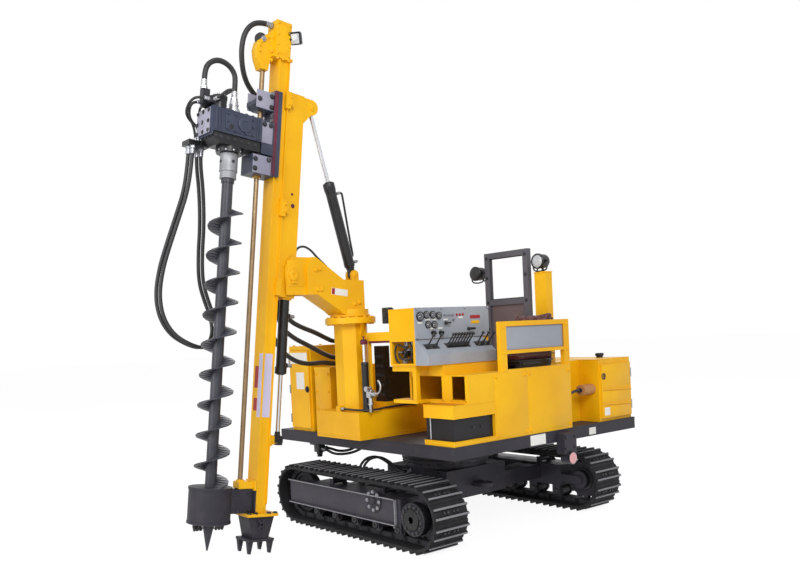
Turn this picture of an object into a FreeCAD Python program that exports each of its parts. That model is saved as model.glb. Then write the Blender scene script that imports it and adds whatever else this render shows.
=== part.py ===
import FreeCAD, Part
import math
import os

os.makedirs("parts", exist_ok=True)
V = FreeCAD.Vector

# Compact crawler anchor drilling rig, millimetres.
# Z is up from the ground, +X is toward the drilling mast and +Y is the operator's side.
# The slewing axis of the upper structure is the Z axis. The tracks lie along Y at rest.

# ---- undercarriage ----
TRACK_GAUGE = 1750.0        # between the track centre planes
TRACK_LENGTH = 1880.0       # over the grousers
TRACK_HEIGHT = 472.0        # over the grousers
SHOE_WIDTH = 310.0
SHOE_PITCH = 135.0
SHOE_THICK = 14.0
GROUSER_HEIGHT = 18.0
GROUSER_FOOT = 24.0
GROUSER_TIP = 12.0
SHOE_GAP = 7.0
LINK_WIDTH = 96.0
LINK_HEIGHT = 46.0
ROLLER_COUNT = 5
ROLLER_INSET = 55.0         # first and last roller, in from the ends of the track beam
ROLLER_RADIUS = 42.0
ROLLER_FLANGE_RADIUS = 50.0
ROLLER_FLANGE = 14.0
IDLER_WIDTH = 60.0
SPROCKET_WIDTH = 44.0
SPROCKET_TEETH = 13
SPROCKET_TOOTH = 18.0
CARRIER_R = 22.0
CARRIER_PLACE = 300.0
CARRIER_HALF = 44.0
CARRIER_AXLE_R = 12.0
CARRIER_PLATE = 12.0
CARRIER_FOOT = 48.0
RUNNING_GAP = 0.3           # between a wheel and the chain it carries
BEAM_INNER = 90.0           # track beam, from the track centre plane to its inner face
BEAM_OUTER = 104.0          # track beam, from the track centre plane to its outer web
BEAM_BOTTOM = 172.0
BEAM_TOP = 342.0
BEAM_FLANGE = 10.0
BEAM_FLANGE_REACH = 28.0    # how far the flanges stand out past the outer web
WHEEL_CLEAR = 11.0          # between the idler or sprocket and the end of the track beam
SIDE_PLATE = 8.0
SIDE_PLATE_LAP = 96.0       # how far the side plate covers past the idler's axis
SIDE_PLATE_LOW = 158.0
SIDE_PLATE_SHORT = 35.0     # side plate, short of the beam's drive end
HANGER_THICK = 14.0
HANGER_WIDTH = 70.0
HANGER_DROP = 74.0
YOKE_HEIGHT = 64.0
FINAL_DRIVE_RADIUS = 112.0
FINAL_DRIVE_REACH = 62.0
CAR_HALF_X = 330.0
CAR_HALF_Y = 340.0
CAR_BOTTOM = 196.0
CAR_TOP = 420.0
LEG_WIDTH = 190.0
LEG_OFFSET = 220.0
LEG_BOTTOM = 212.0
LEG_TOP = 330.0
RING_OUTER = 345.0
RING_INNER = 262.0
RING_TOP = 544.0
BEARING_GAP = 0.3

# ---- deck ----
DECK_FRONT = 920.0
DECK_REAR = -1126.0
DECK_LEFT = 1015.0
DECK_RIGHT = -1000.0
DECK_TOP = 731.0
DECK_DEPTH = 88.0
DECK_PLATE = 8.0
SKIRT = 8.0
DECK_RAIL = 80.0
DECK_RAIL_OFFSET = 270.0
TURNTABLE_OUTER = 322.0
TURNTABLE_INNER = 240.0

# ---- boom post ----
BOOM_Y = -60.0
POST_X = 870.0
PLINTH_REACH = 167.5        # plinth's front edge, ahead of the post's axis
PLINTH_REAR = 362.0
PLINTH_Y = 520.0
PLINTH_TOP = 930.0
TIER_X = (362.0, 740.0)     # raised base of the valve blocks, on the plinth
TIER_Y = (20.0, 160.0)
TIER_TOP = 985.0
POST_FLATS = 240.0
POST_TOP = 1576.0
POST_FLANGE_R = 190.0
POST_FLANGE = 44.0
GUSSET = 16.0
GUSSET_FOOT = 70.0
GUSSET_RISE = 190.0
GUSSET_HEAD = 40.0
GUSSET_DROP = 120.0

# ---- boom head ----
PIVOT_X = 1420.0
PIVOT_Z = 1930.0
HEAD_WIDTH = 190.0
HEAD_BASE_R = 140.0
HEAD_BACK = 70.0            # boom head, from the post axis to its rear face
TILT_LUG_R = 34.0
TILT_LUG_PIN_R = 14.0
CHEEK_THICK = 16.0
TILT_PIN_R = 25.0
TILT_BASE_X = 833.0
TILT_BASE_Z = 1942.0
LUG_THICK = 18.0

# ---- mast and cradle, in the mast's own frame: d forward, s up, from the tilt pivot ----
MAST_LEAN = 7.0
MAST_BACK = 108.0
MAST_DEPTH = 90.0
MAST_WIDTH = 100.0
MAST_WALL = 8.0
MAST_LOW = -1652.0
MAST_HIGH = 1768.0
RAIL_REACH = 12.0
RAIL_THICK = 10.0
SLIDE_GAP = 0.5
CRADLE_BACK = -35.0
CRADLE_WIDTH = 100.0
CRADLE_LOW = -160.0
CRADLE_HIGH = 1290.0
CRADLE_WALL = 8.0
GUIDE_LENGTH = 120.0
GUIDE_THICK = 16.0
EAR_D = -112.0
EAR_S = 1234.0
EAR_R = 55.0
EAR_THICK = 14.0
EYE_THICK = 30.0
EYE_R = 28.0
TILT_BARREL_R = 32.0
TILT_BARREL_LENGTH = 700.0
TILT_ROD_R = 17.0
TILT_ROD_LENGTH = 860.0
ROD_FIT = 0.05
SLIDE_CYL_D = 14.0
SLIDE_BARREL_R = 36.0
SLIDE_BARREL_LENGTH = 520.0
SLIDE_ROD_R = 16.0
SLIDE_EAR_S = -1150.0
SLIDE_UP = 360.0            # how far the mast can rise on its cradle from rest
HEAD_BOX_LOW = 1515.0
HEAD_BOX_BACK = 108.0
HEAD_BOX_FRONT = 232.0
HEAD_BOX_WIDTH = 116.0
TOP_FLANGE = 18.0
TOP_FLANGE_REACH = 26.0
BOAT_LOW = 1398.0           # lowest point of the bracket that holds the guide bar
BOAT_HALF = 34.0
BOAT_REACH = 76.0           # bracket, from the guide bar to its front edge
FOOT_PLATE = 20.0
FOOT_HALF_D = 122.0
FOOT_HALF_Y = 92.0
CLAW_BODY = 150.0
CLAW_TIP_S = -1922.0

# ---- drilling head and string ----
BAR_D = 296.0
BAR_R = 17.0
BAR_LOW = -1440.0
AUGER_D = 519.0
AUGER_SHAFT_R = 38.0
AUGER_FLIGHT_R = 118.0
AUGER_PITCH = 200.0
AUGER_FLIGHT_THICK = 9.0
AUGER_FLIGHT_TOP = 400.0
AUGER_FLIGHT_LOW = -1724.0
AUGER_STEPS = 16
AUGER_TIP_S = -1887.0
COUPLING_R = 60.0
CARRIAGE_LOW = 660.0
CARRIAGE_HIGH = 1258.0
CARRIAGE_PLATE = 26.0
CARRIAGE_WIDTH = 160.0
CARRIAGE_WALL = 12.0
BRACKET_LOW_HEIGHT = 130.0
BRACKET_LOW_REACH = 385.0
BRACKET_TOP_HIGH = 1240.0
BRACKET_TOP_LOW = 1110.0
BRACKET_TOP_REACH = 372.0
GEAR_BACK = 330.0
GEAR_FRONT = 700.0
GEAR_WIDTH = 196.0
GEAR_LOW = 865.0
GEAR_HIGH = 1025.0
END_PLATE = 22.0
BASE_LOW = 795.0            # underside of the black lower housing
BASE_FRONT = 690.0
BASE_HALF = 86.0
NOSE_R = 90.0
NOSE = 35.0
SWIVEL_R = 44.0
SWIVEL_D = 505.0
SWIVEL = 36.0
MOTOR_R = 46.0
MOTOR_Y = 50.0
MOTOR_D = 640.0
MOTOR_HEIGHT = 84.0
PORT_LOW = 26.0
PORT_HIGH = 72.0
PORT_HALF = 24.0
FITTING_HEIGHT = 125.0      # block that the arched hose ends on
MANIFOLD_D = (625.0, 775.0)
MANIFOLD_Y = (-194.0, -88.0)
MANIFOLD = 34.0
SLEEVE_OUTER = 142.0
SLEEVE_INNER = 130.0
SLEEVE_LOW = -1700.0
SLEEVE_HIGH = -1470.0

# ---- upper structure housings ----
SHEET = 5.0
PANEL_GAP = 1.0             # between neighbouring housings
FRONT_CAB_X = (280.0, 884.0)
FRONT_CAB_Y = (-870.0, -575.0)
FRONT_CAB_TOP = 1416.0
LOW_CAB_X = (360.0, 884.0)
LOW_CAB_Y = (-532.0, -328.0)
LOW_CAB_TOP = 1246.0
SIDE_CAB_X = (-330.0, 762.0)
SIDE_CAB_Y = (450.0, 1010.0)
SIDE_CAB_TOP = 1190.0
LEDGE = 85.0                # thickness of the ledge over the dark recess
LEDGE_TOP = 1000.0
STEP_X = (510.0, 905.0)
STEP_REAR_Y = 730.0
STEP_BASE = 32.0
RECESS_DEPTH = 24.0
BAY_X = (763.0, 884.0)
BAY_Y = (410.0, 650.0)
BAY_PILLAR = 34.0
BAY_FLOOR = 24.0
BAY_RAIL = 20.0             # rails of the bay's top
BAY_HEADER = 40.0
SIDE_WINDOWS = ((472.0, 772.0), (866.0, 986.0))
SIDE_WINDOW_Z = (1024.0, 1182.0)
CONSOLE_X = (170.0, 900.0)
CONSOLE_Y = (410.0, 672.0)
CONSOLE_LOW = 1262.0
CONSOLE_MIDDLE = 1440.0
CONSOLE_HIGH = 1656.0
CONSOLE_BACK = 770.0        # back wall of the open bay at the console's end
CONSOLE_EDGE = 22.0
GAUGE_PLATE = 12.0
BRACE = 20.0                # side of the thin upright beside the post
BRACE_Y = 165.0
BRACE_BEAM = 62.0
SHELF_X = (230.0, 900.0)
SHELF_FRONT = 800.0
SHELF_LOW = 1335.0
SHELF_HIGH = CONSOLE_MIDDLE
LEVER_PAIR_X = 845.0
LEVER_PAIR_PITCH = 73.0
LEVER_BANK_X = 655.0
LEVER_BANK_PITCH = 28.0
LEVER_BANK_COUNT = 8
LEVER_TRIO_X = 360.0
LEVER_TRIO_PITCH = 58.0
LEVER_R = 5.0
LEVER_LENGTH = 100.0
KNOB_R = 11.0
GUARD_X = (-330.0, 420.0)
GUARD_LOW = SIDE_CAB_TOP
GUARD_HIGH = 1535.0
GUARD_TUBE = 36.0
GUARD_SIDE = 60.0
GUARD_RAIL = 12.0
GUARD_SLOT = 108.0
GUARD_MIDDLE = 24.0
GUARD_TOP_RAIL = 34.0
GUARD_PANEL = 12.0
FRAME_X = -400.0
FRAME_Y = (170.0, 612.0)
FRAME_HIGH = 2100.0
FRAME_TUBE = 46.0
FRAME_SILL = 1720.0
FRAME_PANEL = 12.0
FRAME_FOOT = 60.0
REAR_CAB_X = (-1118.0, -700.0)
REAR_CAB_Y = (640.0, 990.0)
REAR_CAB_TOP = 1210.0
CANISTER_R = 40.0
CANISTER_Y = 925.0
CANISTER_Z = 985.0
CANISTER_LENGTH = 140.0
RECESS_FRONT = -331.0
RECESS_Y = 810.0
HOOD_X = (-1118.0, -345.0)
HOOD_Y = (-985.0, 639.0)
HOOD_TOP = 1210.0
FRAME_LOW = HOOD_TOP
TANK_X = (-340.0, 279.0)
TANK_Y = (-985.0, -460.0)
TANK_TOP = 1150.0
TANK_CAP_R = 45.0
TANK_CAP = 30.0
COVER_X = (-340.0, 359.0)
COVER_Y = (-458.0, 408.0)
COVER_TOP = 1000.0
ENGINE_INSET = 90.0         # plain engine block, in from the hood's ends
ENGINE_SIDE = 420.0         # plain engine block, in from the hood's sides
ENGINE_HEIGHT = 389.0
INTAKE_X = (-432.0, -360.0)
INTAKE_Y = (690.0, 800.0)
INTAKE_TOP = 1900.0
STACK_X = (680.0, 735.0)    # tall valve block behind the post
STACK_Y = (40.0, 150.0)
STACK_TOP = 1400.0
BLOCK_X = (440.0, 680.0)    # lower valve block behind it
BLOCK_TOP = 1240.0
RAM_X = 940.0
RAM_Y = 172.0
RAM_R = 26.0
RAM_TOP = 1290.0
RAM_STEM_R = 12.0
RAM_STEM_TOP = 1420.0
RAM_HEAD_R = 22.0
RAM_HEAD = 34.0
LAMP_R = 55.0
LAMP_DEPTH = 60.0
LAMP_STEM_R = 9.0
LAMP_DROP = 155.0           # right lamp, below the top of the operator's frame
LAMP_SIDE = 70.0            # right lamp, out from the operator's frame
LAMP_RISE = 85.0            # left lamp, above the intake column
RADIATOR_Y = (-700.0, -40.0)
SIDE_LAMP_X = (-270.0, -130.0)
SIDE_LAMP_R = 44.0
SIDE_LAMP_DEPTH = 70.0
SIDE_LAMP_LOW = 560.0
SIDE_LAMP_GAP = 20.0
TOW_HOLE_R = 22.0
TOW_PLATE = 30.0
TOW_REACH = 90.0
TOW_WIDTH = 110.0
TOW_Z = 290.0
DOOR_GAP = 0.3
DOOR_THICK = 18.0
DOOR_LAP = 14.0
DOOR_SIDE = 30.0
DOOR_FOOT = 40.0
DOOR_HEAD = 50.0
HOOD_SIDE_MARGIN = (90.0, 70.0)
HOOD_SILL = 60.0

# ---- hoses ----
LOOP_HOSE_R = 13.0
ARCH_HOSE_R = 11.0
MAST_HOSE_R = 14.0
BOOM_HOSE_R = 13.0
TOP_HOSE_R = 8.0
TRACK_HOSE_R = 10.0
DECK_HOSE_R = 8.0
BLOCK = 40.0                # side of the block that the deck hose ends at
DECK_BLOCK_X = 1008.0
DECK_SOCKET_X = (420.0, 460.0)   # block that the deck hose starts at
DECK_SOCKET_Y = (165.0, 199.0)
DECK_BLOCK_Y = -40.0
HEAD_BLOCK_X = (1380.0, 1500.0)
HEAD_BLOCK_Y = (-172.0, -130.0)
HEAD_BLOCK_Z = (1850.0, 1880.0)
REAR_BLOCK_Z = (1700.0, 1736.0)
HOSE_SHIFT = (14.0, -33.0)  # second long hose from the first, forward and sideways
PEG_D = (148.0, 160.0)      # plate on the mast's far side, where the mast hose ends
PEG_Y = (-146.0, -49.0)
PEG_S = (1222.0, 1280.0)
ARC_SHARE = 0.45            # share of the shorter run that an arc takes up
HOSE_GAP = 0.3              # between a hose's end and the face that it meets


def box(x0, x1, y0, y1, z0, z1):
    return Part.makeBox(x1 - x0, y1 - y0, z1 - z0, V(x0, y0, z0))


def rod(radius, start, end):
    axis = end.sub(start)
    return Part.makeCylinder(radius, axis.Length, start, axis)


def tube(outer, inner, start, end):
    axis = end.sub(start)
    direction = V(axis).normalize()
    core_start = start.sub(V(direction).multiply(1.0))
    core = Part.makeCylinder(inner, axis.Length + 2.0, core_start, axis)
    return rod(outer, start, end).cut(core)


def prism(points, offset):
    closed = list(points) + [points[0]]
    return Part.Face(Part.makePolygon(closed)).extrude(offset)


def side_prism(points, y0, y1):
    return prism([V(x, y0, z) for x, z in points], V(0, y1 - y0, 0))


def cross_prism(points, x0, x1):
    return prism([V(x0, y, z) for y, z in points], V(x1 - x0, 0, 0))


def plan_prism(points, z0, z1):
    return prism([V(x, y, z0) for x, y in points], V(0, 0, z1 - z0))


def join(*shapes):
    flat = []
    for item in shapes:
        flat.extend(item if isinstance(item, (list, tuple)) else [item])
    return flat[0].multiFuse(flat[1:]).removeSplitter()


def hollow(x0, x1, y0, y1, z0, z1, wall=SHEET):
    inner = box(x0 + wall, x1 - wall, y0 + wall, y1 - wall, z0 - 1.0, z1 - wall)
    return box(x0, x1, y0, y1, z0, z1).cut(inner)


def save(name, *shapes):
    flat = []
    for item in shapes:
        flat.extend(item if isinstance(item, (list, tuple)) else [item])
    shape = flat[0] if len(flat) == 1 else Part.makeCompound(flat)
    for solid in shape.Solids:
        if not solid.isValid() or solid.Volume <= 0:
            raise ValueError("bad solid in " + name)
    shape.exportStep("parts/" + name + ".step")
    print(name, len(shape.Solids), round(shape.Volume / 1e6, 2), "litres")


def on_mast(shape):
    placed = shape.copy()
    placed.rotate(V(0, 0, 0), V(0, 1, 0), -MAST_LEAN)
    placed.translate(V(PIVOT_X, BOOM_Y, PIVOT_Z))
    return placed


def mast_point(d, y, s):
    lean = math.radians(MAST_LEAN)
    x = PIVOT_X + d * math.cos(lean) - s * math.sin(lean)
    z = PIVOT_Z + d * math.sin(lean) + s * math.cos(lean)
    return V(x, BOOM_Y + y, z)


def hose(label, radius, points):
    """A bent tube: straight runs joined by tangent arcs."""
    edges = []
    start = points[0]
    bends = []
    for before, corner, after in zip(points, points[1:], points[2:]):
        inward = corner.sub(before)
        outward = after.sub(corner)
        turn = inward.getAngle(outward)
        reach = ARC_SHARE * min(inward.Length, outward.Length)
        bend = reach / math.tan(turn / 2)
        bends.append(bend)
        enter = corner.sub(V(inward).normalize().multiply(reach))
        leave = corner.add(V(outward).normalize().multiply(reach))
        middle = enter.add(leave).multiply(0.5)
        bulge = math.hypot(reach, bend) - bend
        top = corner.add(middle.sub(corner).normalize().multiply(bulge))
        edges.append(Part.LineSegment(start, enter).toShape())
        edges.append(Part.Arc(enter, top, leave).toShape())
        start = leave
    edges.append(Part.LineSegment(start, points[-1]).toShape())
    path = Part.Wire(edges)
    ring = Part.Wire(Part.makeCircle(radius, points[0], points[1].sub(points[0])))
    solid = path.makePipeShell([ring], True, False)
    share = solid.Volume / (math.pi * radius ** 2 * path.Length)
    print(label, "length", round(path.Length), "volume share", round(share, 3), "radii", [round(b) for b in bends])
    return solid


def ordered(a, b):
    return (a, b) if a < b else (b, a)


# ------------------------------------------------------------------ tracks
TRACK_X = TRACK_GAUGE / 2
END_RADIUS = TRACK_HEIGHT / 2
SHOE_RADIUS = END_RADIUS - GROUSER_HEIGHT
LINK_OUTER = SHOE_RADIUS - SHOE_THICK
LINK_INNER = LINK_OUTER - LINK_HEIGHT
STRAIGHT = TRACK_LENGTH / 2 - END_RADIUS
BEAM_HALF = STRAIGHT - LINK_INNER - WHEEL_CLEAR
ROLLER_SPAN = 2 * (BEAM_HALF - ROLLER_INSET)


def loop_point(run, height):
    """Point of the track loop at a distance along the shoe line, raised by a height."""
    radius = SHOE_RADIUS
    bend = math.pi * radius
    run = run % (4 * STRAIGHT + 2 * bend)
    if run < 2 * STRAIGHT:
        return (-STRAIGHT + run, END_RADIUS + radius + height)
    run -= 2 * STRAIGHT
    if run < bend:
        angle = math.pi / 2 - run / radius
        reach = radius + height
        return (STRAIGHT + reach * math.cos(angle), END_RADIUS + reach * math.sin(angle))
    run -= bend
    if run < 2 * STRAIGHT:
        return (STRAIGHT - run, END_RADIUS - radius - height)
    run -= 2 * STRAIGHT
    angle = -math.pi / 2 - run / radius
    reach = radius + height
    return (-STRAIGHT + reach * math.cos(angle), END_RADIUS + reach * math.sin(angle))


def shoe_outline():
    length = 4 * STRAIGHT + 2 * math.pi * SHOE_RADIUS
    count = round(length / SHOE_PITCH)
    pitch = length / count
    points = []
    for index in range(count):
        start = index * pitch
        points.append(loop_point(start, -SHOE_THICK / 2))
        points.append(loop_point(start + SHOE_GAP, 0))
        for share in (0.3, 0.74):
            middle = start + share * pitch
            points.append(loop_point(middle - GROUSER_FOOT / 2, 0))
            points.append(loop_point(middle - GROUSER_TIP / 2, GROUSER_HEIGHT))
            points.append(loop_point(middle + GROUSER_TIP / 2, GROUSER_HEIGHT))
            points.append(loop_point(middle + GROUSER_FOOT / 2, 0))
    return points


def stadium(radius, x0, x1):
    centre = END_RADIUS
    body = box(x0, x1, -STRAIGHT, STRAIGHT, centre - radius, centre + radius)
    ends = [rod(radius, V(x0, y, centre), V(x1, y, centre)) for y in (-STRAIGHT, STRAIGHT)]
    return join(body, ends)


def make_track(centre):
    half = SHOE_WIDTH / 2
    shoes = cross_prism(shoe_outline(), centre - half, centre + half)
    shoes = shoes.cut(stadium(LINK_OUTER - 6.0, centre - half - 1, centre + half + 1))
    link_half = LINK_WIDTH / 2
    links = stadium(LINK_OUTER - 3.0, centre - link_half, centre + link_half)
    links = links.cut(stadium(LINK_INNER, centre - link_half - 1, centre + link_half + 1))
    return shoes.fuse(links)


save("track_left", make_track(TRACK_X))
save("track_right", make_track(-TRACK_X))

# ------------------------------------------------------------------ track frame
HANGER_INNER = BEAM_INNER
ROLLER_Z = END_RADIUS - LINK_INNER + RUNNING_GAP + ROLLER_RADIUS


def roller_places():
    step = ROLLER_SPAN / (ROLLER_COUNT - 1)
    return [-ROLLER_SPAN / 2 + step * index for index in range(ROLLER_COUNT)]


CARRIER_Z = END_RADIUS + LINK_INNER - RUNNING_GAP - CARRIER_R
CARRIER_AXLE_END = CARRIER_HALF + CARRIER_PLATE


def carrier_places():
    return (-CARRIER_PLACE, CARRIER_PLACE)


def track_beam(side):
    def across(a, b):
        low, high = sorted((side * (TRACK_X + a), side * (TRACK_X + b)))
        return low, high
    x0, x1 = across(-BEAM_INNER, BEAM_OUTER)
    web = box(x0, x1, -BEAM_HALF, BEAM_HALF, BEAM_BOTTOM, BEAM_TOP)
    pieces = [web]
    x0, x1 = across(BEAM_OUTER - 1, BEAM_OUTER + SIDE_PLATE)
    rear = -(STRAIGHT + SIDE_PLATE_LAP)
    front = BEAM_HALF - SIDE_PLATE_SHORT
    pieces.append(box(x0, x1, rear, front, SIDE_PLATE_LOW, BEAM_TOP))
    x0, x1 = across(BEAM_OUTER, BEAM_OUTER + BEAM_FLANGE_REACH)
    pieces.append(box(x0, x1, rear, front, SIDE_PLATE_LOW, SIDE_PLATE_LOW + BEAM_FLANGE))
    pieces.append(box(x0, x1, rear, front, BEAM_TOP - BEAM_FLANGE, BEAM_TOP))
    for sign in (-1, 1):
        x0, x1 = across(*ordered(sign * CARRIER_AXLE_END, sign * (CARRIER_AXLE_END + CARRIER_PLATE)))
        for y in carrier_places():
            pieces.append(box(x0, x1, y - CARRIER_FOOT / 2, y + CARRIER_FOOT / 2,
                              BEAM_TOP - 2, CARRIER_Z + CARRIER_AXLE_R + 4))
    for start in (-HANGER_INNER, HANGER_INNER - HANGER_THICK):
        x0, x1 = across(start, start + HANGER_THICK)
        for y in roller_places():
            pieces.append(box(x0, x1, y - HANGER_WIDTH / 2, y + HANGER_WIDTH / 2,
                              BEAM_BOTTOM - HANGER_DROP, BEAM_BOTTOM))
        for end in (-1, 1):
            near, far = sorted((end * (BEAM_HALF - 60.0), end * STRAIGHT))
            arm = box(x0, x1, near, far, END_RADIUS - YOKE_HEIGHT / 2, END_RADIUS + YOKE_HEIGHT / 2)
            tip = rod(YOKE_HEIGHT / 2, V(x0, end * STRAIGHT, END_RADIUS),
                      V(x1, end * STRAIGHT, END_RADIUS))
            pieces += [arm, tip]
    return pieces


def tow_eye(end):
    half = TOW_WIDTH / 2
    y0, y1 = ordered(end * (CAR_HALF_Y - 5), end * (CAR_HALF_Y + TOW_REACH))
    middle = end * (CAR_HALF_Y + TOW_REACH)
    low, high = TOW_Z - TOW_PLATE / 2, TOW_Z + TOW_PLATE / 2
    plate = join(box(-half, half, y0, y1, low, high), rod(half, V(0, middle, low), V(0, middle, high)))
    return plate.cut(rod(TOW_HOLE_R, V(0, middle, low - 1), V(0, middle, high + 1)))


def car_body():
    middle = box(-CAR_HALF_X, CAR_HALF_X, -CAR_HALF_Y, CAR_HALF_Y, CAR_BOTTOM, CAR_TOP)
    legs = []
    for y in (-LEG_OFFSET, LEG_OFFSET):
        reach = TRACK_X - BEAM_INNER
        legs.append(box(-reach, reach, y - LEG_WIDTH / 2, y + LEG_WIDTH / 2, LEG_BOTTOM, LEG_TOP))
    collar = rod(RING_OUTER - 20, V(0, 0, CAR_TOP - 5), V(0, 0, CAR_TOP + 40))
    return [middle, collar] + legs + [tow_eye(1), tow_eye(-1)]


save("track_frame", join(car_body(), track_beam(1), track_beam(-1)))
save("slew_ring", tube(RING_OUTER, RING_INNER, V(0, 0, CAR_TOP + 40), V(0, 0, RING_TOP)))


def roller(side, y):
    half = HANGER_INNER - HANGER_THICK
    x0 = side * TRACK_X - half
    x1 = side * TRACK_X + half
    drum = rod(ROLLER_RADIUS, V(x0 + 4, y, ROLLER_Z), V(x1 - 4, y, ROLLER_Z))
    axle = rod(16, V(x0, y, ROLLER_Z), V(x1, y, ROLLER_Z))
    gap = LINK_WIDTH / 2 + 3
    rims = []
    for sign in (-1, 1):
        a, b = sorted((side * TRACK_X + sign * gap, side * TRACK_X + sign * (gap + ROLLER_FLANGE)))
        rims.append(rod(ROLLER_FLANGE_RADIUS, V(a, y, ROLLER_Z), V(b, y, ROLLER_Z)))
    return join(drum, axle, rims)


def carrier(side, y):
    x = side * TRACK_X
    drum = rod(CARRIER_R, V(x - CARRIER_HALF, y, CARRIER_Z), V(x + CARRIER_HALF, y, CARRIER_Z))
    axle = rod(CARRIER_AXLE_R, V(x - CARRIER_AXLE_END, y, CARRIER_Z), V(x + CARRIER_AXLE_END, y, CARRIER_Z))
    return join(drum, axle)


def idler(side):
    half = HANGER_INNER - HANGER_THICK
    x = side * TRACK_X
    y = -STRAIGHT
    z = END_RADIUS
    wheel = rod(LINK_INNER - RUNNING_GAP, V(x - IDLER_WIDTH / 2, y, z), V(x + IDLER_WIDTH / 2, y, z))
    for sign in (-1, 1):
        a, b = sorted((x + sign * (IDLER_WIDTH / 2 - 14), x + sign * (IDLER_WIDTH / 2 + 1)))
        wheel = wheel.cut(tube(LINK_INNER - 26, 52, V(a, y, z), V(b, y, z)))
    return join(wheel, rod(44, V(x - half, y, z), V(x + half, y, z)))


save("track_wheels", [roller(side, y) for side in (-1, 1) for y in roller_places()],
     [carrier(side, y) for side in (-1, 1) for y in carrier_places()], [idler(side) for side in (-1, 1)])


def sprocket(side):
    x = side * TRACK_X
    y = STRAIGHT
    z = END_RADIUS
    tip = LINK_INNER - RUNNING_GAP
    root = tip - SPROCKET_TOOTH
    points = []
    for index in range(SPROCKET_TEETH):
        for share, radius in ((-0.34, root), (-0.14, tip), (0.14, tip), (0.34, root)):
            angle = 2 * math.pi * (index + share) / SPROCKET_TEETH
            points.append((y + radius * math.cos(angle), z + radius * math.sin(angle)))
    wheel = cross_prism(points, x - SPROCKET_WIDTH / 2, x + SPROCKET_WIDTH / 2)
    half = HANGER_INNER - HANGER_THICK
    hub = rod(70, V(x - half, y, z), V(x + half, y, z))
    return join(wheel, hub)


def final_drive(side):
    y = STRAIGHT
    z = END_RADIUS
    start = side * (TRACK_X + HANGER_INNER)
    drum = rod(FINAL_DRIVE_RADIUS, V(start, y, z), V(start + side * FINAL_DRIVE_REACH, y, z))
    cap_start = start + side * FINAL_DRIVE_REACH
    cap = rod(FINAL_DRIVE_RADIUS * 0.62, V(cap_start, y, z), V(cap_start + side * 14, y, z))
    return join(drum, cap)


save("drive_sprockets", [sprocket(side) for side in (-1, 1)], [final_drive(side) for side in (-1, 1)])

# ------------------------------------------------------------------ deck
DECK_LOW = DECK_TOP - DECK_DEPTH
PLATE_LOW = DECK_TOP - DECK_PLATE


def make_deck():
    outer = box(DECK_REAR, DECK_FRONT, DECK_RIGHT, DECK_LEFT, DECK_LOW, DECK_TOP)
    inner = box(DECK_REAR + SKIRT, DECK_FRONT - SKIRT, DECK_RIGHT + SKIRT, DECK_LEFT - SKIRT,
                DECK_LOW - 1, PLATE_LOW)
    pieces = [outer.cut(inner)]
    for y in (-DECK_RAIL_OFFSET, DECK_RAIL_OFFSET):
        rail = box(DECK_REAR + SKIRT, DECK_FRONT - SKIRT, y - DECK_RAIL / 2, y + DECK_RAIL / 2,
                   DECK_LOW, PLATE_LOW)
        pieces.append(rail)
    for x in (-640.0, 640.0):
        pieces.append(box(x - 30, x + 30, DECK_RIGHT + SKIRT, DECK_LEFT - SKIRT, DECK_LOW + 10, PLATE_LOW))
    pieces.append(rod(TURNTABLE_OUTER + 20, V(0, 0, DECK_LOW), V(0, 0, PLATE_LOW)))
    pieces.append(tube(TURNTABLE_OUTER, TURNTABLE_INNER, V(0, 0, RING_TOP + BEARING_GAP), V(0, 0, DECK_LOW + 1)))
    return join(pieces)


save("deck", make_deck())

# ------------------------------------------------------------------ boom post
PLINTH_FRONT = POST_X + PLINTH_REACH


def octagon(flats, x, y):
    reach = flats / 2 / math.cos(math.pi / 8)
    return [(x + reach * math.cos(math.pi / 8 + k * math.pi / 4),
             y + reach * math.sin(math.pi / 8 + k * math.pi / 4)) for k in range(8)]


def make_post():
    plinth = box(PLINTH_REAR, PLINTH_FRONT, BOOM_Y - PLINTH_Y / 2, BOOM_Y + PLINTH_Y / 2,
                 DECK_TOP, PLINTH_TOP)
    post = plan_prism(octagon(POST_FLATS, POST_X, BOOM_Y), PLINTH_TOP, POST_TOP)
    flange = rod(POST_FLANGE_R, V(POST_X, BOOM_Y, POST_TOP), V(POST_X, BOOM_Y, POST_TOP + POST_FLANGE))
    tier = box(*TIER_X, *TIER_Y, PLINTH_TOP - 2, TIER_TOP)
    pieces = [plinth, post, flange, tier]
    foot = POST_FLATS / 2
    for sign in (-1, 1):
        gusset = [(BOOM_Y + sign * (foot - 5), PLINTH_TOP), (BOOM_Y + sign * (foot + GUSSET_FOOT), PLINTH_TOP),
                  (BOOM_Y + sign * (foot - 5), PLINTH_TOP + GUSSET_RISE)]
        pieces.append(cross_prism(gusset, POST_X - GUSSET / 2, POST_X + GUSSET / 2))
        head = [(BOOM_Y + sign * (foot - 5), POST_TOP), (BOOM_Y + sign * (foot + GUSSET_HEAD), POST_TOP),
                (BOOM_Y + sign * (foot - 5), POST_TOP - GUSSET_DROP)]
        pieces.append(cross_prism(head, POST_X - GUSSET / 2, POST_X + GUSSET / 2))
    pieces.append(box(DECK_BLOCK_X - BLOCK / 2, DECK_BLOCK_X + BLOCK / 2, DECK_BLOCK_Y - BLOCK, DECK_BLOCK_Y,
                      PLINTH_TOP - 2, PLINTH_TOP + BLOCK))
    pieces.append(box(*DECK_SOCKET_X, *DECK_SOCKET_Y, PLINTH_TOP - 2, PLINTH_TOP + BLOCK))
    return join(pieces)


save("boom_post", make_post())
FLANGE_TOP = POST_TOP + POST_FLANGE

# ------------------------------------------------------------------ boom head
HEAD_LOW = FLANGE_TOP + BEARING_GAP


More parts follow.
